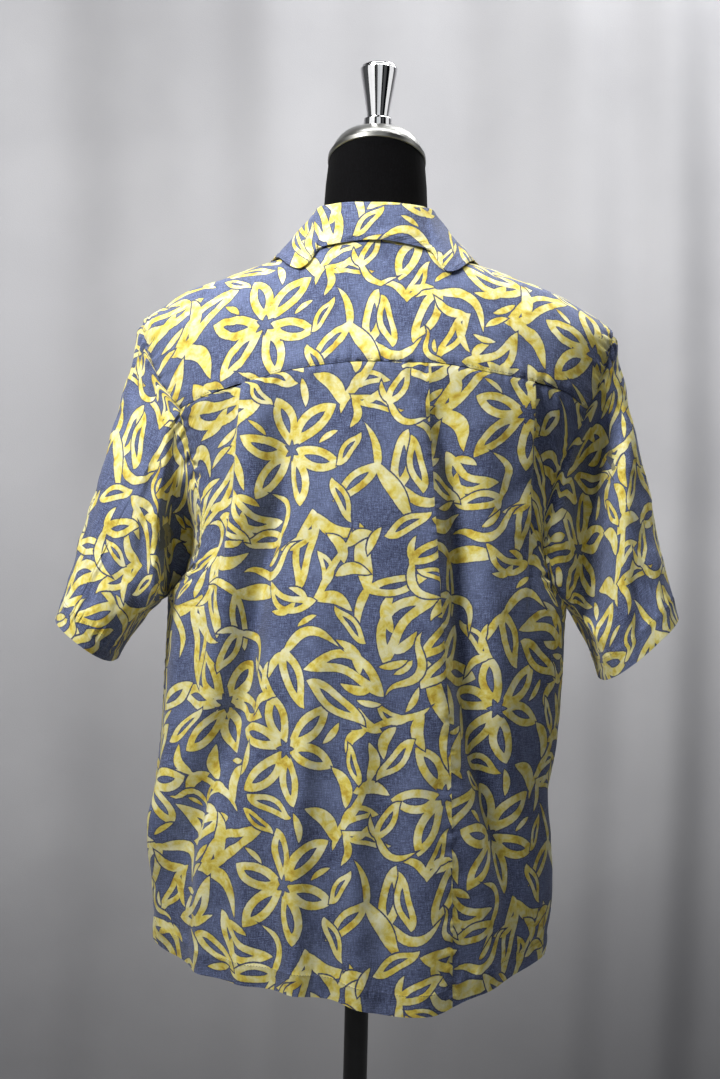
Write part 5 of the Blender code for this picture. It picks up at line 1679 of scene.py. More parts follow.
class ButtonSettings(bpy.types.PropertyGroup):
    """Sizes of the buttons."""

    radius: length_setting("Radius", "Radius of a button", BUTTON_RADIUS, 0.004, 0.009)
    thickness: length_setting("Thickness", "Thickness of a button", 0.0026, 0.0015, 0.004)
    hole: length_setting("Hole", "Radius of one of the four holes", 0.00085, 0.0005, 0.0012)


class StageSettings(bpy.types.PropertyGroup):
    """Camera and light."""

    distance: length_setting("Camera distance", "From the camera to the form", 1.9, 0.8, 6.0)
    height: length_setting("Camera height", "Height of the camera over the floor", 1.099, 0.2, 2.5)
    light: strength_setting("Light", "Strength of all the lamps, 1 as set up", 4.0)


class WorkshopSettings(bpy.types.PropertyGroup):
    """Everything that can be set."""

    cloth: PointerProperty(type=ClothSettings)
    print: PointerProperty(type=PrintSettings)
    buttons: PointerProperty(type=ButtonSettings)
    stage: PointerProperty(type=StageSettings)


def workshop():
    return bpy.context.scene.shirt_workshop


# --- the panels, relieved --------------------------------------------------
HEM_DEPTH = 0.020         # of the hem round the bottom
CUFF_DEPTH = 0.022        # of the sleeves' hems
TOPSTITCH = 0.0055        # from an armhole or the collar's edge to its stitches
EDGE_STITCH = 0.0030      # from the button stand's edge to its stitches
YOKE_STITCH = 0.0022      # from the yoke's seam to its stitches
HEM_SWELL = 0.0006        # how far a hem stands proud of the cloth
HEM_GROOVE = 0.0005       # how deep its stitches pull, and its ripples
HEM_RIPPLE = 0.0007
SEAM_SWELL = 0.0016       # how far the cloth rises beside a seam
SEAM_REACH = 0.0040       # and the distance over which it rises
SEAM_SETTLE = 0.020       # and over which it settles again
SEAM_PUCKER = (0.0012, 0.015, 0.006)        # height, pitch and reach at the yoke's seam
YOKE_PUCKER = (0.0012, 0.014, 0.005)
ARMHOLE_PUCKER = (0.0016, 0.011, 0.0050)
SLEEVE_PUCKER = (0.0020, 0.011, 0.0055)
SIDE_CALM = 0.25          # share of the armhole's puckers that the side seams have
PULL_Z = 1.05             # pull lines are reckoned from this height
PULL_SLANT = 0.9          # and run down by so much of the way from their seam
PULL_REACH = 0.045        # and fade out over this distance from it
PLEAT_LIP = 0.0045        # how far a pleat's edge stands up
TROUGH_DEPTH = 0.0120
JOIN_GROOVE = 0.00055     # depth of the back's join, and the allowance beside it
JOIN_ALLOWANCE = 0.0004
JOIN_RIPPLE = 0.0005
SLEEVE_ROUND = 0.075      # radius by which a place round a sleeve becomes a distance


def seam_swell(distance):
    """The cloth rises out of the valley of a seam."""
    rise = 1 - np.exp(-distance / SEAM_REACH)
    return SEAM_SWELL * rise * np.exp(-(distance / SEAM_SETTLE) ** 2)


def hem_relief(distance, way, depth, seed):
    """A double hem stands proud up to its stitches, which pull a shallow groove."""
    swell = HEM_SWELL * smoothstep(distance, depth + 0.0015, depth - 0.0015)
    groove = -HEM_GROOVE * gauss(distance, depth, 0.0013)
    ripple = waves(way, distance, seed, 0.016, 0.5, 6) * gauss(distance, depth, 0.010)
    return swell + groove + HEM_RIPPLE * ripple


def relieve(points, normals, height, keep=(True, True, True, True), around=False, ways=None):
    """Raise a grid by a height, with its rim directions kept where it is sewn.

    ways are the directions to raise it in, its normals if there are none.
    """
    moved = points + (normals if ways is None else ways) * height[..., None]
    turned = grid_normals(moved, around=around)
    same = np.sign(np.sum(turned * normals, axis=-1, keepdims=True))
    turned = turned * np.where(same == 0, 1.0, same)
    for kept, rows in zip(keep, (0, -1)):
        if kept:
            turned[rows] = normals[rows]
    if not around:
        for kept, columns in zip(keep[2:], (0, -1)):
            if kept:
                turned[:, columns] = normals[:, columns]
    return moved, turned


def drape(across, up, seed, length, height):
    """Soft upright folds that wander as they go down."""
    wander = 0.018 * waves(across * 0.4, up, seed + 1, 0.30, 0.8, 5)
    ridges = waves(across + wander, up * 0.10, seed, length, 0.25, 6)
    return height * (ridges + 0.25 * ridges ** 2)


def creases(across, up, seed, large, small, turn_spread=math.pi):
    """Uneven creases of two sizes, each with its height and length."""
    return large[0] * waves(across, up, seed, large[1], turn_spread) \
        + small[0] * waves(across, up, seed + 1, small[1])


def pull_lines(beside, z, height, slant, pitch, level, span):
    """Slanting ridges out from an armhole, about a level."""
    slanted = beside * PULL_SLANT + (z - PULL_Z) * slant
    return height * np.sin(slanted / pitch) * np.exp(-beside / PULL_REACH) * gauss(z, level, span)


def at_armhole(z):
    """0 at the side seams, 1 at the armholes."""
    return smoothstep(z, 1.00, 1.05)


def side_pucker(distance, z, seed):
    """Gathers down an armhole, which are fainter down the side seam."""
    return pucker(distance, z, seed, *ARMHOLE_PUCKER) \
        * (SIDE_CALM + (1 - SIDE_CALM) * at_armhole(z))


# The back's two deep folds, which part on the way down: heights, places across, and
# how high the cloth stands beside each, towards the middle and away from it.
BACK_TROUGHS = (
    ((0.76, 0.93, 1.04, 1.14, 1.21), (-0.149, -0.105, -0.0945, -0.090, -0.070), 0.0045, 0.003),
    ((0.785, 0.93, 1.07, 1.146, 1.26), (0.181, 0.128, 0.108, 0.086, 0.090), 0.0020, 0.011),
)


def back_relief(points):
    x, z = points[..., 0], points[..., 2]
    hem, seam, right, left = edge_ways(points)
    settings = workshop().cloth
    side = np.minimum(right, left)
    free = smoothstep(side, 0.0, 0.035) * smoothstep(seam, 0.0, 0.05)
    soft = drape(x, z, 3, 0.062, 0.0040) * (0.25 + 0.75 * smoothstep(z, 1.22, 0.80))
    soft = soft * (1 - 0.75 * (gauss(x, 0.0, 0.075) * smoothstep(z, 0.86, 1.0)))
    crumple = creases(x, z, 8, (0.0007, 0.075), (0.0003, 0.030), 1.2)
    drag = pull_lines(left, z, 0.0036, 0.75, 0.0105, 1.085, 0.06)
    drag += pull_lines(right, z, 0.0032, 0.7, 0.0115, 1.10, 0.07)
    height = (soft + crumple + drag) * free * settings.folds
    for levels, places, inward, outward in BACK_TROUGHS:
        beside = (x - np.interp(z, levels, places)) * (1 if places[0] > 0 else -1)
        fold = inward * gauss(beside, -0.026, 0.014) + outward * gauss(beside, 0.025, 0.016)
        fold = fold - TROUGH_DEPTH * gauss(beside, 0.0, 0.0135)
        height += fold * free * smoothstep(z, 0.70, 0.84) * smoothstep(z, 1.27, 1.16) \
            * settings.folds
    for name, (x_top, x_bottom, _) in PLEATS.items():
        edge = x_bottom + (x_top - x_bottom) * smoothstep(z, PLEAT_END_Z, PLEAT_TOP_Z)
        beside = x * SIDES[name] - edge
        lip = smoothstep(beside, -0.030, 0.0) * smoothstep(beside, 0.0050, 0.0005)
        height += PLEAT_LIP * lip * smoothstep(z, 1.00, 1.12) * smoothstep(z, PLEAT_TOP_Z, 1.235)
    height += seam_swell(side) * at_armhole(z) + seam_swell(seam)
    height += settings.gathers * (pucker(seam, x, 21, *SEAM_PUCKER) + side_pucker(side, z, 22))
    height += hem_relief(hem, x, HEM_DEPTH, 23)
    return height


def from_join(points, column):
    """Distance to the right of the join in the back's cloth, less than 0 to its left."""
    _, _, reach, _ = edge_ways(points)
    return reach - reach[:, column:column + 1]


def join_groove(points, column):
    """The seam allowance behind the join lifts the cloth a little to its one side."""
    beside, way = from_join(points, column), points[..., 2]
    return (-JOIN_GROOVE * gauss(beside, 0.0, 0.0011) + JOIN_ALLOWANCE * gauss(beside, 0.006, 0.005)
            + JOIN_RIPPLE * waves(way, way * 0, 31, 0.018, 0.0, 5) * gauss(beside, 0.003, 0.006))


def yoke_relief(points):
    x = points[..., 0]
    seam, top, right, left = edge_ways(points)
    settings = workshop().cloth
    side = np.minimum(right, left)
    free = smoothstep(side, 0.0, 0.03) * smoothstep(seam, 0.0, 0.03) * smoothstep(top, 0.0, 0.04)
    crumple = creases(x, seam, 12, (0.0007, 0.070), (0.0003, 0.026))
    height = (0.0004 + crumple) * free * (1 - 0.6 * gauss(x, 0.0, 0.10)) * settings.folds
    height += seam_swell(seam) * 1.2 + seam_swell(side)
    height += settings.gathers * (pucker(seam, x, 24, *YOKE_PUCKER)
                                  + pucker(side, seam, 25, *ARMHOLE_PUCKER))
    return height


def front_relief(points, side):
    x, z = points[..., 0] * SIDES[side], points[..., 2]
    hem, seam, inner, outer = edge_ways(points)
    settings = workshop().cloth
    seed = 40 if side == "left" else 60
    flat = smoothstep(inner, BUTTON_STAND, 0.075)
    free = smoothstep(outer, 0.0, 0.035) * smoothstep(seam, 0.0, 0.05) * flat
    soft = drape(x, z, seed, 0.066, 0.0040) * (0.2 + 0.8 * smoothstep(z, 1.24, 0.85))
    crumple = creases(x, z, seed + 3, (0.0006, 0.070), (0.0003, 0.030), 1.2)
    drag = pull_lines(outer, z, 0.0026, 0.75, 0.0110, 1.09, 0.065)
    calm = 1 - smoothstep(z, 1.22, 1.27) * smoothstep(x, 0.13, 0.09)    # below the lapel
    height = (soft + crumple + drag) * free * calm * settings.folds
    height += seam_swell(outer) * at_armhole(z) * calm
    height += settings.gathers * calm * side_pucker(outer, z, seed + 5)
    height += hem_relief(hem, x, HEM_DEPTH, seed + 6) * smoothstep(inner, 0.0, 0.02)
    return height


def sleeve_relief(points, side):
    """Heights for a sleeve, whose rows run from armhole to hem and columns from the underarm."""
    seam, hem, _, _ = edge_ways(points)
    x, y, z = points[..., 0] * SIDES[side], points[..., 1], points[..., 2]
    settings = workshop().cloth
    seed = 80 if side == "left" else 100
    angle = np.linspace(0.0, 2 * math.pi, points.shape[1], endpoint=False)[None, :] + 0 * z
    ring = SLEEVE_ROUND * angle
    closing = np.minimum(angle, 2 * math.pi - angle) / math.pi
    join = smoothstep(closing, 0.0, 0.12)
    free = smoothstep(seam, 0.0, 0.035) * smoothstep(hem, 0.012, 0.05)
    crumple = 0.0009 * waves(x * 3, z, seed, 0.045) + 0.0004 * waves(ring, z, seed + 1, 0.02)
    lower = smoothstep(closing, 0.75, 0.25)
    drag = 0.0024 * np.sin(z / 0.0135 + x / 0.021 + 2.0 * np.sin(y / 0.05)) * lower * join \
        * gauss(z, 1.045, 0.05)
    cap = 0.0010 * np.sin(angle * 11 + 3 * np.sin(angle * 2)) * np.exp(-seam / 0.05) * join
    height = (crumple * join + drag + cap) * free * settings.folds
    height += seam_swell(seam) * 1.1 + settings.gathers * join * pucker(
        seam, ring, seed + 2, *SLEEVE_PUCKER)
    height += hem_relief(hem, ring, CUFF_DEPTH, seed + 3) * (0.3 + 0.7 * join)
    return height


def left_fold(x, z, free):
    """Shift of the left sleeve's back: in behind the armhole, with a crest and a dent."""
    band = smoothstep(z, 0.995, 1.030) * smoothstep(z, 1.165, 1.085)
    wall = 0.2120 - 0.010 * smoothstep(z, 1.10, 1.20)
    shift = -0.062 * smoothstep(x, wall, wall - 0.007) * band * free
    crest = 0.0115 * gauss(x, wall + 0.003, 0.006) + 0.0040 * gauss(x, wall + 0.028, 0.020)
    shift = shift + crest * at_armhole(z) * smoothstep(z, 1.27, 1.14)
    return shift - 0.007 * gauss(x + (z - 1.10) * 0.35, 0.258, 0.010) * gauss(z, 1.10, 0.075)


def right_fold(x, z, free):
    """Shift of the right sleeve's back: a deep upright fold, with a crest and a dent."""
    band = smoothstep(z, 1.000, 1.045) * smoothstep(z, 1.265, 1.175)
    wall = np.interp(z, (1.04, 1.12, 1.20, 1.28), (0.240, 0.238, 0.243, 0.254))
    deep = smoothstep(x, wall + 0.016, wall - 0.008) * smoothstep(x, wall - 0.046, wall - 0.010)
    shift = -0.046 * deep * band * free + 0.0080 * gauss(x, wall + 0.022, 0.010) * band
    return shift - 0.007 * gauss(x + (z - 1.06) * 0.5, 0.268, 0.011) * gauss(z, 1.05, 0.05)


def fold_in(points, side):
    """Move a sleeve's back half: the deep fold beside the armhole, and its crest."""
    x, y, z = points[..., 0] * SIDES[side], points[..., 1], points[..., 2]
    free = smoothstep(edge_ways(points)[0], 0.0, 0.022)
    shift = (left_fold if side == "left" else right_fold)(x, z, free)
    shift = shift * smoothstep(y, 0.0, 0.03) * workshop().cloth.folds
    return points + np.stack([0 * x, shift, 0 * z], axis=-1)


def collar_relief(points):
    start, end, seam, edge = edge_ways(points)
    settings = workshop().cloth
    fall = smoothstep(seam, 0.036, 0.046)
    crumple = 0.0006 * waves(start, edge, 120, 0.050) * fall
    swell = 0.0005 * smoothstep(edge, 0.0075, 0.0050) * fall
    ripple = 0.0004 * waves(start, edge, 121, 0.017, 0.6, 6) * gauss(edge, 0.006, 0.005) * fall
    ends = smoothstep(np.minimum(start, end), 0.0, 0.02)
    return (crumple + ripple) * ends * settings.folds + swell


SHEETS = {}


def cut_panels():
    """Every panel's middle surface and normals, relieved and matched at the seams."""
    if SHEETS:
        return SHEETS
    back, back_out = back_grid()
    yoke, yoke_out = yoke_grid()
    back_normals = pointing_out(grid_normals(back), back, (0.0, 0.0, 1.0))
    back_normals[:, 0], back_normals[:, -1] = back_out[:, 0], back_out[:, -1]
    over_at = ROWS_ABOVE + YOKE_ROWS - 1
    fronts, plain = {}, {}
    for side in SIDES:
        front, normals = front_grid(side)
        ring, ring_normals = armhole_ring(
            side, (back, back_normals), (yoke, yoke_out), (front, normals))
        sleeve, sleeve_normals, mitre = sleeve_grid(side, ring, ring_normals, over_at)
        share_mitre(side, mitre, back_normals, yoke_out, normals)
        fronts[side] = (front, normals)
        plain[side] = front
        SHEETS["sleeve_" + side] = (sleeve, sleeve_normals)
        SHEETS["over_" + side] = over_at
    join = BACK_SIDE + 2 * (PLEAT_TURN + 1) + (BACK_MIDDLE - JOIN_COLUMN)
    SHEETS["join"] = join
    height = back_relief(back) + join_groove(back, join)
    SHEETS["back"] = relieve(back, back_normals, height, ways=back_out)
    SHEETS["yoke"] = relieve(yoke, yoke_out, yoke_relief(yoke))
    for side in SIDES:
        front, normals = fronts[side]
        SHEETS["front_" + side] = relieve(front, normals, front_relief(front, side))
        sleeve, normals = SHEETS["sleeve_" + side]
        height = sleeve_relief(sleeve, side)
        moved, turned = relieve(sleeve, normals, height, (True, False), around=True)
        moved = fold_in(moved, side)
        turned_again = grid_normals(moved, around=True)
        turned_again *= np.sign(np.sum(turned_again * turned, axis=-1, keepdims=True))
        turned_again[0] = normals[0]
        SHEETS["sleeve_" + side] = (moved, turned_again)
    line = collar_line(plain, yoke)
    collar, collar_normals = collar_grid(line)
    SHEETS["collar"] = relieve(collar, collar_normals, collar_relief(collar),
                               (False, False, False, False))
    for side in SIDES:
        SHEETS["lapel_" + side] = lapel_grid(side)
    return SHEETS


def seam_ways(points, seams):
    """For the gathers: distance from the seam that rules here, way along it, and its pull.

    Each seam is its distances, ways along it and pull.
    """
    best = np.zeros(points.shape)
    best[..., 0] = 1.0
    weight = np.zeros(points.shape[:2])
    for distance, way, pull in seams:
        pull = pull + 0 * distance
        strength = pull * np.exp(-distance / 0.008)
        stronger = strength > weight
        weight = np.where(stronger, strength, weight)
        found = np.stack([distance, way + 0 * distance, pull], axis=-1)
        best = np.where(stronger[..., None], found, best)
    return best


def side_pull(z):
    """How hard the outer seams of the body pull: gently at the side, fully at the armhole."""
    return 0.35 + 0.65 * smoothstep(z, 1.00, 1.06)


def yoke_flat(points):
    """Places on the flat yoke: across as worn, and the way over the shoulder."""
    up, _, _, _ = edge_ways(points)
    return np.stack([points[..., 0] * 1.06, up], axis=-1)


# Where the print starts on each piece of the cloth, across and along.  From the join
# on, the back's print moves by so much, because the cloth there is another width.
PRINT_SHIFTS = {
    "back": (0.055, 0.115), "join": (0.112, 0.043), "yoke": (0.135, 0.262),
    "front_left": (0.02, 0.05), "front_right": (0.19, 0.05),
    "sleeve_left": (0.21, 0.10), "sleeve_right": (0.06, 0.29),
    "collar": (0.19, 0.205), "lapel_left": (0.05, 0.17), "lapel_right": (0.20, 0.17),
}

# The cut of each sheet that shows, width by length, and its flat area.
CUTS = {
    "back": ((0.600, 0.640), 0.320),
    "yoke": ((0.690, 0.225), 0.0935),
    "front": ((0.320, 0.794), 0.189),
    "sleeve": ((0.600, 0.318), 0.100),
    "collar": ((0.635, 0.136), 0.0487),
    "lapel": ((0.061, 0.091), 0.0020),
}


def declare(piece, node):
    """The piece rides on the form's body and stands for its node, which is hidden."""
    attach(piece, BODY_NAME)
    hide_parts(node)


class SHIRT_OT_panels(bpy.types.Operator):
    """Cut and sew the back, the yoke and the two fronts"""

    bl_idname = "shirt.panels"
    bl_label = "Sew body panels"

    def execute(self, context):
        sheets = cut_panels()
        middle, normals = sheets["back"]
        flat = lay_flat(middle, ROWS_BELOW, middle.shape[1] // 2) + PRINT_SHIFTS["back"]
        hem, seam, right, left = edge_ways(middle)
        across, up = middle[..., 0], middle[..., 2]
        side = np.minimum(right, left)
        seams = seam_ways(middle, (
            (seam, across, 0.55), (np.abs(hem - HEM_DEPTH), across, 0.45),
            (side, up, side_pull(up)),
            (np.abs(from_join(middle, sheets["join"])), up, 0.35)))
        piece = sew("back_cloth", middle, normals, flat, seams,
                    join=(sheets["join"], PRINT_SHIFTS["join"]))
        declare(piece, "back")
        middle, normals = sheets["yoke"]
        seam, _, right, left = edge_ways(middle)
        side = np.minimum(right, left)
        seams = seam_ways(middle, ((seam, middle[..., 0], 0.55), (side, seam, 1.0)))
        flat = yoke_flat(middle) + PRINT_SHIFTS["yoke"]
        piece = sew("yoke_cloth", middle, normals, flat, seams)
        declare(piece, "yoke")
        for side in SIDES:
            middle, normals = sheets["front_" + side]
            flat = lay_flat(middle, ROWS_BELOW, 0) * (SIDES[side] * -1.0, 1.0)
            hem, seam, inner, outer = edge_ways(middle)
            across, up = middle[..., 0], middle[..., 2]
            seams = seam_ways(middle, (
                (np.abs(hem - HEM_DEPTH), across, 0.45),
                (outer, up, side_pull(up)), (np.abs(inner - EDGE_STITCH), up, 0.25)))
            name = "front_" + side
            flat = flat + PRINT_SHIFTS[name]
            declare(sew(name + "_cloth", middle, normals, flat, seams), name)
        return {"FINISHED"}


class SHIRT_OT_sleeves(bpy.types.Operator):
    """Set in both sleeves"""

    bl_idname = "shirt.sleeves"
    bl_label = "Set in sleeves"

    def execute(self, context):
        sheets = cut_panels()
        for side in SIDES:
            name = "sleeve_" + side
            middle, normals = sheets[name]
            wrapped = np.concatenate([middle, middle[:, :1]], axis=1)
            flat = lay_sleeve(wrapped, sheets["over_" + side])
            flat = flat * (SIDES[side], 1.0) + PRINT_SHIFTS[name]
            seam, hem, _, _ = edge_ways(middle)
            ring = np.linspace(0.0, CUTS["sleeve"][0][0], middle.shape[1])[None, :]
            seams = seam_ways(middle, ((seam, ring, 1.0), (np.abs(hem - CUFF_DEPTH), ring, 0.5)))
            piece = sew(name + "_cloth", middle, normals, flat, seams, around=True)
            declare(piece, name)
        return {"FINISHED"}


class SHIRT_OT_collar(bpy.types.Operator):
    """Fold the collar and lay out the two lapels"""

    bl_idname = "shirt.collar"
    bl_label = "Fold collar and lapels"

    def execute(self, context):
        sheets = cut_panels()
        middle, normals = sheets["collar"]
        flat = lay_flat(middle, middle.shape[0] // 2, 0)[..., ::-1] * (1.0, -1.0)
        start, _, _, edge = edge_ways(middle)
        seams = seam_ways(middle, ((np.abs(edge - TOPSTITCH), start, 0.35),))
        piece = sew("collar_cloth", middle, normals, flat + PRINT_SHIFTS["collar"], seams)
        declare(piece, "collar")
        for side in SIDES:
            name = "lapel_" + side
            middle, normals = sheets[name]
            flat = lay_flat(middle, 0, 0) + PRINT_SHIFTS[name]
            piece = sew(name + "_cloth", middle, normals, flat, seam_ways(middle, ()))
            declare(piece, name)
        return {"FINISHED"}


# --- stitches --------------------------------------------------------------
STITCH_PROUD = 0.00002    # the middle of the thread lies this far out from the cloth


def stitch_tree(material):
    """Geometry nodes that set stitches end to end along a line."""
    name = "Stitch line"
    if name in bpy.data.node_groups:
        return bpy.data.node_groups[name]
    tree, n, given, result = new_tree(
        name, "GeometryNodeTree",
        {"Line": "Geometry", "Pitch": "Float", "Length": "Float", "Width": "Float"},
        {"Stitches": "Geometry"})
    points = n.new("GeometryNodeCurveToPoints", {"mode": "LENGTH"}, Curve=given.outputs["Line"],
                   Length=given.outputs["Pitch"])
    ball = n.new("GeometryNodeMeshUVSphere", None, Segments=6, Rings=4, Radius=0.5)
    size = n.new("ShaderNodeCombineXYZ", None, X=given.outputs["Width"],
                 Y=given.outputs["Width"], Z=given.outputs["Length"])
    shaped = n.new("GeometryNodeTransform", None, Geometry=ball.outputs["Mesh"],
                   Scale=size.outputs[0])
    laid = n.new("GeometryNodeInstanceOnPoints", None, Points=points.outputs["Points"],
                 Instance=shaped.outputs[0], Rotation=points.outputs["Rotation"])
    real = n.new("GeometryNodeRealizeInstances", None, Geometry=laid.outputs[0])
    smooth = n.new("GeometryNodeSetShadeSmooth", None, Geometry=real.outputs[0])
    coloured = n.new("GeometryNodeSetMaterial", None, Geometry=smooth.outputs[0],
                     Material=material)
    n.feed(result.inputs[0], coloured.outputs[0])
    return tree


def kept_mesh(source):
    """What an object's modifiers make of it, as a plain mesh."""
    bpy.context.view_layer.update()
    ready = source.evaluated_get(bpy.context.evaluated_depsgraph_get())
    mesh = bpy.data.meshes.new_from_object(ready)
    source.modifiers.clear()
    return mesh


def grown(name, source, tree, values):
    """Run a tree on an object and keep the result as a plain mesh."""
    modifier = source.modifiers.new("Grow", "NODES")
    modifier.node_group = tree
    for item in tree.interface.items_tree:
        if item.in_out == "INPUT" and item.name in values:
            modifier[item.identifier] = values[item.name]
    mesh = kept_mesh(source)
    bpy.data.objects.remove(source)
    mesh.name = name
    return put(name, mesh)


def stitch(name, lines):
    """Stitches along lines of points, as one piece."""
    settings = workshop().cloth
    material = shared("Sewing thread", sewing_thread)
    curve = bpy.data.curves.new(name + " line", "CURVE")
    curve.dimensions = "3D"
    for points in lines:
        spline = curve.splines.new("POLY")
        spline.points.add(len(points) - 1)
        four = np.concatenate([points, np.ones((len(points), 1))], axis=1)
        spline.points.foreach_set("co", four.astype(np.float32).ravel())
    piece = grown(name, put(name + " line", curve), stitch_tree(material), {
        "Pitch": settings.stitch_pitch, "Length": settings.stitch, "Width": settings.thread})
    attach(piece, BODY_NAME)
    return piece


def seam_line(name, inset, row=None, column=None):
    """A line over a panel at a distance from one of its edges.

    The edge is its first or last row, 0 or -1, or its first or last column.
    """
    middle, normals = SHEETS[name]
    surface = middle + normals * (workshop().cloth.wall / 2 + STITCH_PROUD)
    around = name.startswith("sleeve")
    ways = edge_ways(middle)
    if row is not None:
        pairs = zip(ways[0 if row == 0 else 1].T, surface.swapaxes(0, 1))
    else:
        pairs = zip(ways[2 if column == 0 else 3], surface)
    line = []
    for distance, points in pairs:
        order = np.argsort(distance)
        line.append([np.interp(inset, distance[order], points[order, axis]) for axis in range(3)])
    if around:
        line.append(line[0])
    return np.array(line)


class SHIRT_OT_stitches(bpy.types.Operator):
    """Sew the lines of stitches that show on the seams, hems and edges"""

    bl_idname = "shirt.stitches"
    bl_label = "Sew topstitching"

    def execute(self, context):
        cut_panels()
        stitch("stitch_yoke", [seam_line("yoke", YOKE_STITCH, row=0)])
        stitch("stitch_hem", [seam_line(name, HEM_DEPTH, row=0)
                              for name in ("back", "front_left", "front_right")])
        stitch("stitch_cuffs", [seam_line("sleeve_" + side, CUFF_DEPTH, row=-1)
                                for side in SIDES])
        lines = []
        for side, column in (("left", -1), ("right", 0)):
            lines.append(seam_line("back", TOPSTITCH, column=column)[ROWS_BELOW + 4:])
            lines.append(seam_line("yoke", TOPSTITCH, column=column))
            lines.append(seam_line("front_" + side, TOPSTITCH, column=-1)[ROWS_BELOW + 4:])
        stitch("stitch_armholes", lines)
        stitch("stitch_collar", [seam_line("collar", TOPSTITCH, column=-1)[4:-4]])
        lines = [seam_line("front_" + side, EDGE_STITCH, column=0) for side in SIDES]
        stitch("stitch_fronts", [line[line[:, 2] < BREAK_Z - 0.004] for line in lines])
        return {"FINISHED"}


# --- buttons ---------------------------------------------------------------
BUTTON_PROFILE = (        # shares of the radius and of half the thickness
    (0.0, -1.0), (0.55, -1.0), (0.86, -0.75), (1.0, -0.15), (1.0, 0.45), (0.93, 0.92),
    (0.84, 1.0), (0.74, 0.88), (0.62, 0.42), (0.40, 0.34), (0.0, 0.32),
)
BUTTON_SIDES = 36
HOLE_SIDES = 12
HOLE_REACH = 0.0016       # from the middle of a button to the middle of a hole
HOLE_ROW = 0.00113        # from the middle to each row of two holes
STRAND_APART = 0.00028    # two strands run from hole to hole, this far beside the row
STRAND_SIZE = (0.0031, 0.00052, 0.00062)
STRAND_RISE = (0.36, 0.00012)   # share of half the thickness, and as much more


def button_blank(material):
    """One button facing +Z: a dished round with a rim and four holes."""
    settings = workshop().buttons
    radius, high, hole = settings.radius, settings.thickness, settings.hole
    profile = [(radius * out, high / 2 * up) for out, up in BUTTON_PROFILE]
    blank = lathe("button blank", profile, BUTTON_SIDES, material)
    for k in range(4):
        turn = math.pi / 4 + math.pi / 2 * k
        place = (HOLE_REACH * math.cos(turn), HOLE_REACH * math.sin(turn), 0.0)
        drill = lathe("drill", [(0.0, -high), (hole, -high), (hole, high), (0.0, high)],
                      HOLE_SIDES, material, place)
        cut = blank.modifiers.new("Hole", "BOOLEAN")
        cut.operation, cut.solver, cut.object = "DIFFERENCE", "EXACT", drill
        blank.data = kept_mesh(blank)
        bpy.data.objects.remove(drill)
    return blank


def strands(material):
    """The thread that shows on one button: two strands over each row of holes."""
    share, more = STRAND_RISE
    rise = workshop().buttons.thickness / 2 * share + more
    shape = bmesh.new()
    for offset in (-HOLE_ROW, HOLE_ROW):
        for strand in (-STRAND_APART, STRAND_APART):
            bar = bmesh.ops.create_uvsphere(shape, u_segments=8, v_segments=6, radius=0.5)
            size = Matrix.Diagonal((*STRAND_SIZE, 1.0))
            place = Matrix.Translation((0.0, offset + strand, rise))
            bmesh.ops.transform(shape, matrix=place @ size, verts=bar["verts"])
    return solid_from("thread bars", shape, material)


def button_tree():
    """Geometry nodes that set a button on each point, turned to its direction."""
    tree, n, given, result = new_tree(
        "Buttons on a stand", "GeometryNodeTree",
        {"Places": "Geometry", "Button": "Object", "Material": "Material"},
        {"Buttons": "Geometry"})
    way = n.new("GeometryNodeInputNamedAttribute", {"data_type": "FLOAT_VECTOR"}, Name="facing")
    turn = n.new("FunctionNodeAlignRotationToVector", {"axis": "Z"},
                 Vector=way.outputs["Attribute"])
    button = n.new("GeometryNodeObjectInfo", None, Object=given.outputs["Button"])
    laid = n.new("GeometryNodeInstanceOnPoints", None, Points=given.outputs["Places"],
                 Instance=button.outputs["Geometry"], Rotation=turn.outputs["Rotation"])
    real = n.new("GeometryNodeRealizeInstances", None, Geometry=laid.outputs[0])
    coloured = n.new("GeometryNodeSetMaterial", None, Geometry=real.outputs[0],
                     Material=given.outputs["Material"])
    n.feed(result.inputs[0], coloured.outputs[0])
    return tree


def button_places():
    """Where the buttons sit, and the way they face."""
    places, ways = [], []
    for index in range(BUTTON_COUNT):
        low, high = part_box(f"button_{index + 1}")
        seat = on_face(0.0, BUTTON_TOP_Z - BUTTON_PITCH * index, "front")
        places.append((np.array(low) + np.array(high)) / 2)
        ways.append(body_normals(seat))
    return np.array(places), np.array(ways)


def on_each_button(name, source, material):
    """Copies of one object on every button's place."""
    places, ways = button_places()
    mesh = bpy.data.meshes.new(name + " places")
    mesh.from_pydata(places.tolist(), [], [])
    store(mesh, "facing", "FLOAT_VECTOR", "POINT", ways)
    holder = put(name + " places", mesh)
    piece = grown(name, holder, button_tree(), {"Button": source, "Material": material})
    bpy.data.objects.remove(source)
    piece.data.shade_smooth()
    piece.data.set_sharp_from_angle(angle=math.radians(40))
    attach(piece, BODY_NAME)
    return piece


class SHIRT_OT_buttons(bpy.types.Operator):
    """Turn, drill and sew on the buttons"""

    bl_idname = "shirt.buttons"
    bl_label = "Sew on buttons"

    def execute(self, context):
        shell, thread = shared("Button shell", shell_button), shared("Sewing thread", sewing_thread)
        piece = on_each_button("buttons", button_blank(shell), shell)
        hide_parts(*[f"button_{k + 1}" for k in range(BUTTON_COUNT)])
        on_each_button("button_threads", strands(thread), thread)
        return {"FINISHED"}


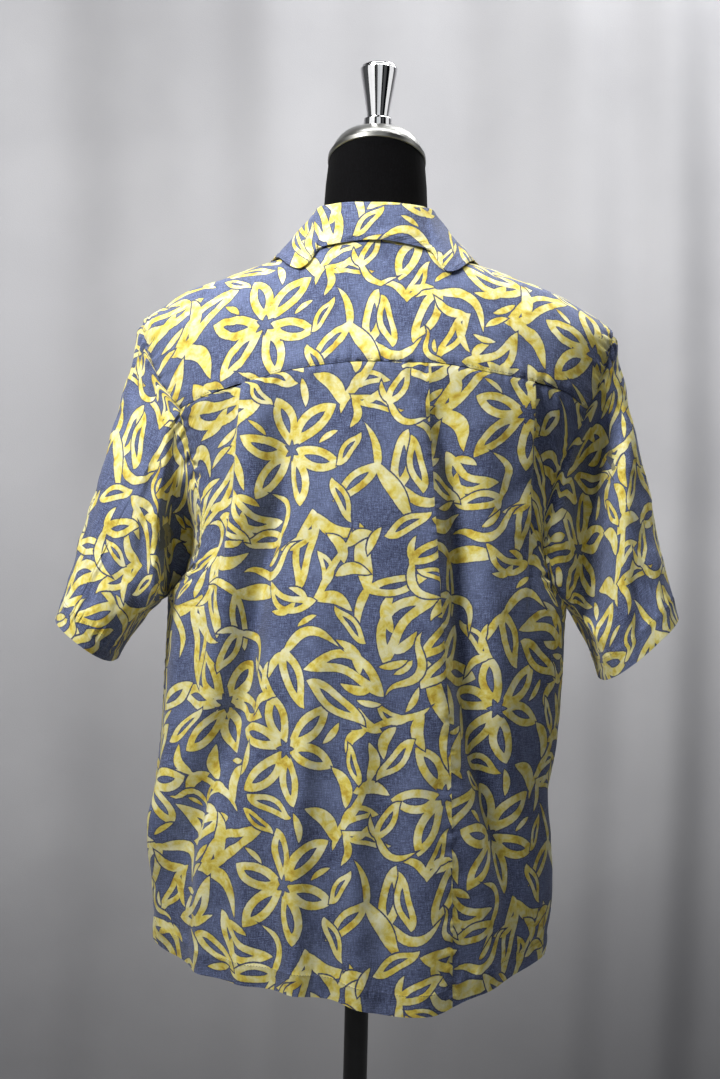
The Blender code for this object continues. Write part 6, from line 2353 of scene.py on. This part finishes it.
# --- dress form and stand --------------------------------------------------
FORM_SIDES = 120
FORM_LEVELS = 150
FORM_FOOT = (0.009, 8)    # its lowest part is finer: its height, and its levels
NECK_LEVELS = 8           # from the top of the table to the slanted top
CAP_SIDES = 96
CAP_EDGE = 0.0006         # by which the edges of the cap's rim are broken
CAP_UNDERCUT = 0.0007     # inset of the rim where it stands on the neck
CAP_STEP = 0.0022         # the dome starts this far inside the rim
CAP_DOME_LEVELS = 21
CAP_DOME_POWER = 1.4      # more makes the dome hollow out towards the rim
FINIAL_SIDES = 96
POLE_SIDES = 64
BASE_SIDES = 128
FINIAL_ROUND, POLE_ROUND, BASE_ROUND = 0.0006, 0.0004, 0.0015   # radii of turned corners


def stand_in(piece, node):
    """The piece rides on the form's body in its node's place, which is hidden."""
    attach(piece, BODY_NAME)
    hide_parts(node)


def section(half, behind, before, level):
    """One level ring of the form."""
    angles = np.linspace(0.0, 2 * math.pi, FORM_SIDES, endpoint=False)
    cosine, sine = np.cos(angles), np.sin(angles)
    deep = np.sign(sine) * np.sqrt(1 - np.abs(cosine) ** SECTION_POWER)
    y = np.where(sine >= 0, behind, before) * deep
    return np.stack([half * cosine, y, np.full_like(y, level)], axis=-1)


def slanted_ring(wide, deep, lift, sides):
    """An oval on the slant of the neck's top."""
    angles = np.linspace(0.0, 2 * math.pi, sides, endpoint=False)
    x, y = wide * np.cos(angles), deep * np.sin(angles)
    return np.stack([x, y, NECK_TOP_Z + NECK_SLANT * y + lift], axis=-1)


def form_rings():
    """The torso's rings, and on from them to the slanted top of the neck."""
    curves = column_curves(FORM, FORM_COLUMNS)
    (foot, steps), low, high = FORM_FOOT, FORM[0][0], FORM[-1][0]
    levels = np.concatenate([low + foot * np.linspace(0, 1, steps, endpoint=False),
                             np.linspace(low + foot, high, FORM_LEVELS)])
    rings = [section(*(float(curves[c](z)) for c in FORM_COLUMNS[1:]), z) for z in levels]
    top = slanted_ring(NECK_RADIUS, NECK_DEPTH, 0.0, FORM_SIDES)
    neck = rings[-1]
    return rings + [neck * (1 - t) + top * t for t in spread(0.0, 1.0, NECK_LEVELS)[1:]]


def cap_rings():
    """The neck cap's rings: its rim on the slant, and its dome up to the level seat."""
    wide, deep = NECK_RADIUS + CAP_OVERHANG, NECK_DEPTH + CAP_OVERHANG
    rings = [slanted_ring(wide - inset, deep - inset, lift, CAP_SIDES) for lift, inset in (
        (SEAM_GAP, CAP_UNDERCUT), (SEAM_GAP + CAP_EDGE, 0.0), (CAP_RIM - CAP_EDGE, 0.0),
        (CAP_RIM, CAP_EDGE))]
    rim_z = rings[-1][:, 2]
    for step in spread(0.0, math.pi / 2, CAP_DOME_LEVELS)[1:]:
        share = math.cos(step)
        ring = slanted_ring(CAP_SEAT_RADIUS + (wide - CAP_STEP - CAP_SEAT_RADIUS) * share,
                            CAP_SEAT_RADIUS + (deep - CAP_STEP - CAP_SEAT_RADIUS) * share,
                            0.0, CAP_SIDES)
        ring[:, 2] = rim_z + (CAP_TOP_Z - rim_z) * math.sin(step) ** CAP_DOME_POWER
        rings.append(ring)
    return rings


class SHIRT_OT_form(bpy.types.Operator):
    """Pad out the torso and neck of the dress form"""

    bl_idname = "shirt.form"
    bl_label = "Pad dress form"

    def execute(self, context):
        piece = rings_solid("form_torso_cover", form_rings(), jersey(), 50.0)
        stand_in(piece, "form_torso")
        return {"FINISHED"}


class SHIRT_OT_stand(bpy.types.Operator):
    """Turn the cap, finial, pole and foot"""

    bl_idname = "shirt.stand"
    bl_label = "Turn stand and finial"

    def execute(self, context):
        cap = rings_solid("neck_cap_turned", cap_rings(), satin_metal(), 35.0)
        stand_in(cap, "neck_cap")
        finial = lathe("finial_turned", rounded(FINIAL, FINIAL_ROUND)[::-1], FINIAL_SIDES,
                       chrome(), (0.0, 0.0, CAP_TOP_Z + SEAM_GAP))
        stand_in(finial, "finial")
        paint = black_paint()
        low, high = BASE[0][1] + SEAM_GAP, FORM[0][0] - SEAM_GAP
        tube = [(0.0, low), (POLE_RADIUS, low), (POLE_RADIUS, high), (0.0, high)]
        pole = lathe("pole_turned", rounded(tube, POLE_ROUND), POLE_SIDES, paint)
        stand_in(pole, "pole")
        foot = lathe("base_turned", rounded(BASE, BASE_ROUND)[::-1], BASE_SIDES, paint)
        stand_in(foot, "base")
        return {"FINISHED"}


# --- stage -----------------------------------------------------------------
VIEW_HEIGHT = 1.13295     # metres at the form that the camera covers, top to bottom
CAMERA_X = 0.0082
ROLL = math.radians(1.372)
FAR_CLIP = 50.0
FLOOR = (4.0, 6.0, 41)    # its half width, its far end and its lines
CURTAIN_Y = -1.15
CURTAIN = (3.0, 3.2, 601, 41)       # its half width, height, columns and rows
# Painted shade on the curtain: multipliers of its colour by height, darker low down and near the
# top.
CURTAIN_PAINTED_SHADE = ((0.10, 0.52), (0.30, 0.82), (0.55, 1.0), (0.74, 1.0), (0.98, 0.74))
PAINTED_SHADE_SCALE = 0.5         # the painted shade above goes by this share of the height
WORLD_STRENGTH = 0.08
WHITE = (1.0, 1.0, 1.0)
LAMPS = (                 # name, place, aim, size, power and colour
    ("Key lamp", (0.66, 0.78, 2.06), (0.0, 0.0, 1.25), (0.40, 0.32), 23.5, (1.0, 0.985, 0.96)),
    ("Fill lamp", (-0.3, 2.6, 1.7), (0.0, 0.0, 1.2), (1.4, 1.4), 4.5, (0.96, 0.98, 1.0)),
    ("Curtain lamp", (-0.2, 0.0, 2.9), (-0.1, CURTAIN_Y, 1.4), (1.8, 0.4), 42.0, WHITE),
    ("Front lamp", (-0.6, -1.0, 2.5), (0.0, 0.0, 1.1), (0.6, 0.6), 14.0, WHITE),
)
BRIGHT_CARDS = (          # the same, for what the polished metal mirrors
    ("Left card", (1.15, 0.96, 1.62), (0.0, 0.0, 1.55), (1.25, 1.3), 5.5, WHITE),
    ("Right card", (-1.45, 0.10, 1.62), (0.0, 0.0, 1.55), (0.9, 1.3), 3.2, WHITE),
)


def stage_cloth(name, low, high, bright, grain_depth, one_sided=False):
    """Matt stuff between two greys; a one-sided one gets painted shade, darker towards its bottom
    and its top, and is clear behind.
    """
    material, n, shader, place = material_with(name)
    mottle = n.noise(place, 3.0, 4.0)
    grain = n.noise(place, 700.0, 2.0)
    colour = n.mix(n.ramp(mottle, 0.3, 0.7), low, high)
    if one_sided:
        # painted shade: the colour is multiplied down by height, most at the bottom and less at the
        # top
        height = n.new("ShaderNodeSeparateXYZ", None, Vector=place).outputs[2]
        shade = n.colours(n.times(height, PAINTED_SHADE_SCALE), [
            (level, (value, value, value, 1.0)) for level, value in CURTAIN_PAINTED_SHADE])
        colour = n.mix(1.0, colour, shade, "MULTIPLY")
    n.fill(shader, Base_Color=colour, Roughness=0.9, Specular_IOR_Level=bright)
    bump(n, shader, grain, grain_depth, 0.3)
    if one_sided:
        behind = n.new("ShaderNodeNewGeometry").outputs["Backfacing"]
        clear = n.new("ShaderNodeBsdfTransparent").outputs[0]
        both = n.new("ShaderNodeMixShader")
        for socket, value in zip(both.inputs, (behind, shader.outputs[0], clear)):
            n.feed(socket, value)
        n.fill(material.node_tree.nodes["Material Output"], Surface=both.outputs[0])
    return material


def sheet_mesh(name, grid, material):
    rows, columns = grid.shape[:2]
    ids = np.arange(rows * columns).reshape(rows, columns)
    quads = np.stack([ids[:-1, :-1], ids[:-1, 1:], ids[1:, 1:], ids[1:, :-1]], axis=-1)
    mesh = bpy.data.meshes.new(name)
    mesh.from_pydata(grid.reshape(-1, 3).tolist(), [], quads.reshape(-1, 4).tolist())
    mesh.materials.append(material)
    mesh.shade_smooth()
    put(name, mesh)


def lay_floor():
    half, far, lines = FLOOR
    stuff = stage_cloth("Pale floor", (0.38, 0.38, 0.39, 1), (0.44, 0.44, 0.45, 1), 0.3, 0.0004)
    x, y = np.meshgrid(np.linspace(-half, half, lines), np.linspace(CURTAIN_Y - 0.15, far, lines))
    sheet_mesh("floor", np.stack([x, y, 0 * x], axis=-1), stuff)


def hang_curtain():
    half, high, columns, rows = CURTAIN
    # the curtain's colour carries painted shade by height
    stuff = stage_cloth("Pale curtain", (0.44, 0.44, 0.46, 1), (0.50, 0.50, 0.52, 1), 0.25,
                        0.0006, True)
    x, z = np.meshgrid(np.linspace(-half, half, columns), np.linspace(0.0, high, rows))
    sway = 0.05 * np.sin(z * 1.1 + 0.5)
    pleats = 0.030 * waves(x + sway, z * 0.05, 7, 0.42, 0.05, 8)
    pleats += 0.010 * waves(x + sway, z * 0.08, 8, 0.16, 0.05, 6)
    sheet_mesh("curtain", np.stack([x, CURTAIN_Y + pleats, z], axis=-1)[:, ::-1], stuff)


def light_world(scene):
    """A dim grey world, darker in bands that the polished metal mirrors."""
    world = scene.world or bpy.data.worlds.new("Studio")
    scene.world = world
    world.use_nodes = True
    n = Nodes(world.node_tree)
    way = n.new("ShaderNodeTexCoord").outputs["Generated"]
    bands = n.ramp(n.bands(way, "X", 0.75, 0.6), 0.25, 0.6)
    grey = n.mix(bands, (0.05, 0.052, 0.06, 1), (0.95, 0.97, 1.0, 1))
    n.fill(world.node_tree.nodes["Background"], Color=grey, Strength=WORLD_STRENGTH)


def area_lamp(name, place, aim, size, power, colour):
    light = bpy.data.lights.new(name, "AREA")
    light.shape = "RECTANGLE"
    light.size, light.size_y = size
    light.energy = power * workshop().stage.light
    light.color = colour
    lamp = put(name, light)
    lamp.location = place
    way = Vector(aim) - Vector(place)
    lamp.rotation_euler = way.to_track_quat("-Z", "Y").to_euler()
    return lamp


def set_camera(scene, settings):
    """A camera that looks level at the shirt's back, rolled a little."""
    data = bpy.data.cameras.new("Camera")
    data.sensor_fit = "VERTICAL"
    data.angle = 2 * math.atan(VIEW_HEIGHT / 2 / settings.distance)
    data.clip_end = FAR_CLIP
    camera = put("Camera", data)
    look = Matrix.Rotation(math.pi, 4, "Z") @ Matrix.Rotation(math.pi / 2, 4, "X")
    camera.matrix_world = Matrix.Translation(
        (CAMERA_X, settings.distance, settings.height)) @ look @ Matrix.Rotation(ROLL, 4, "Z")
    scene.camera = camera


class SHIRT_OT_stage(bpy.types.Operator):
    """Set up the floor, the curtain, the lamps and the camera"""

    bl_idname = "shirt.stage"
    bl_label = "Set up stage"

    def execute(self, context):
        lay_floor()
        hang_curtain()
        light_world(context.scene)
        for lamp in LAMPS:
            area_lamp(*lamp)
        for card in BRIGHT_CARDS:
            area_lamp(*card).visible_diffuse = False    # only the metal shows it
        set_camera(context.scene, workshop().stage)
        context.scene.view_settings.view_transform = "Standard"
        return {"FINISHED"}


# --- panel and start -------------------------------------------------------
STEPS = (
    ("shirt.panels", "Sew body panels"), ("shirt.sleeves", "Set in sleeves"),
    ("shirt.collar", "Fold collar and lapels"), ("shirt.stitches", "Sew topstitching"),
    ("shirt.buttons", "Sew on buttons"), ("shirt.form", "Pad dress form"),
    ("shirt.stand", "Turn stand and finial"), ("shirt.stage", "Set up stage"),
)


class SHIRT_PT_workshop(bpy.types.Panel):
    """Lists the steps that make the shirt, and its settings"""

    bl_label = "Shirt workshop"
    bl_idname = "SHIRT_PT_workshop"
    bl_space_type = "VIEW_3D"
    bl_region_type = "UI"
    bl_category = "Shirt"

    def draw(self, context):
        layout = self.layout
        for operator, label in STEPS:
            layout.operator(operator, text=label)
        settings = context.scene.shirt_workshop
        for group in (settings.cloth, settings.print, settings.buttons, settings.stage):
            box = layout.box()
            for key in group.bl_rna.properties.keys():
                if key not in ("rna_type", "name"):
                    box.prop(group, key)


CLASSES = (
    ClothSettings, PrintSettings, ButtonSettings, StageSettings, WorkshopSettings,
    SHIRT_OT_panels, SHIRT_OT_sleeves, SHIRT_OT_collar, SHIRT_OT_stitches, SHIRT_OT_buttons,
    SHIRT_OT_form, SHIRT_OT_stand, SHIRT_OT_stage, SHIRT_PT_workshop,
)


def register():
    for kind in CLASSES:
        bpy.utils.register_class(kind)
    bpy.types.Scene.shirt_workshop = PointerProperty(type=WorkshopSettings)


def unregister():
    del bpy.types.Scene.shirt_workshop
    for kind in reversed(CLASSES):
        bpy.utils.unregister_class(kind)


def plain(box):
    """A box as plain lists of numbers."""
    return [[float(value) for value in corner] for corner in box]


def main():
    register()
    bpy.ops.shirt.form()
    bpy.ops.shirt.panels()
    bpy.ops.shirt.sleeves()
    bpy.ops.shirt.collar()
    bpy.ops.shirt.stitches()
    bpy.ops.shirt.buttons()
    bpy.ops.shirt.stand()
    bpy.ops.shirt.stage()


if __name__ == "__main__":
    main()
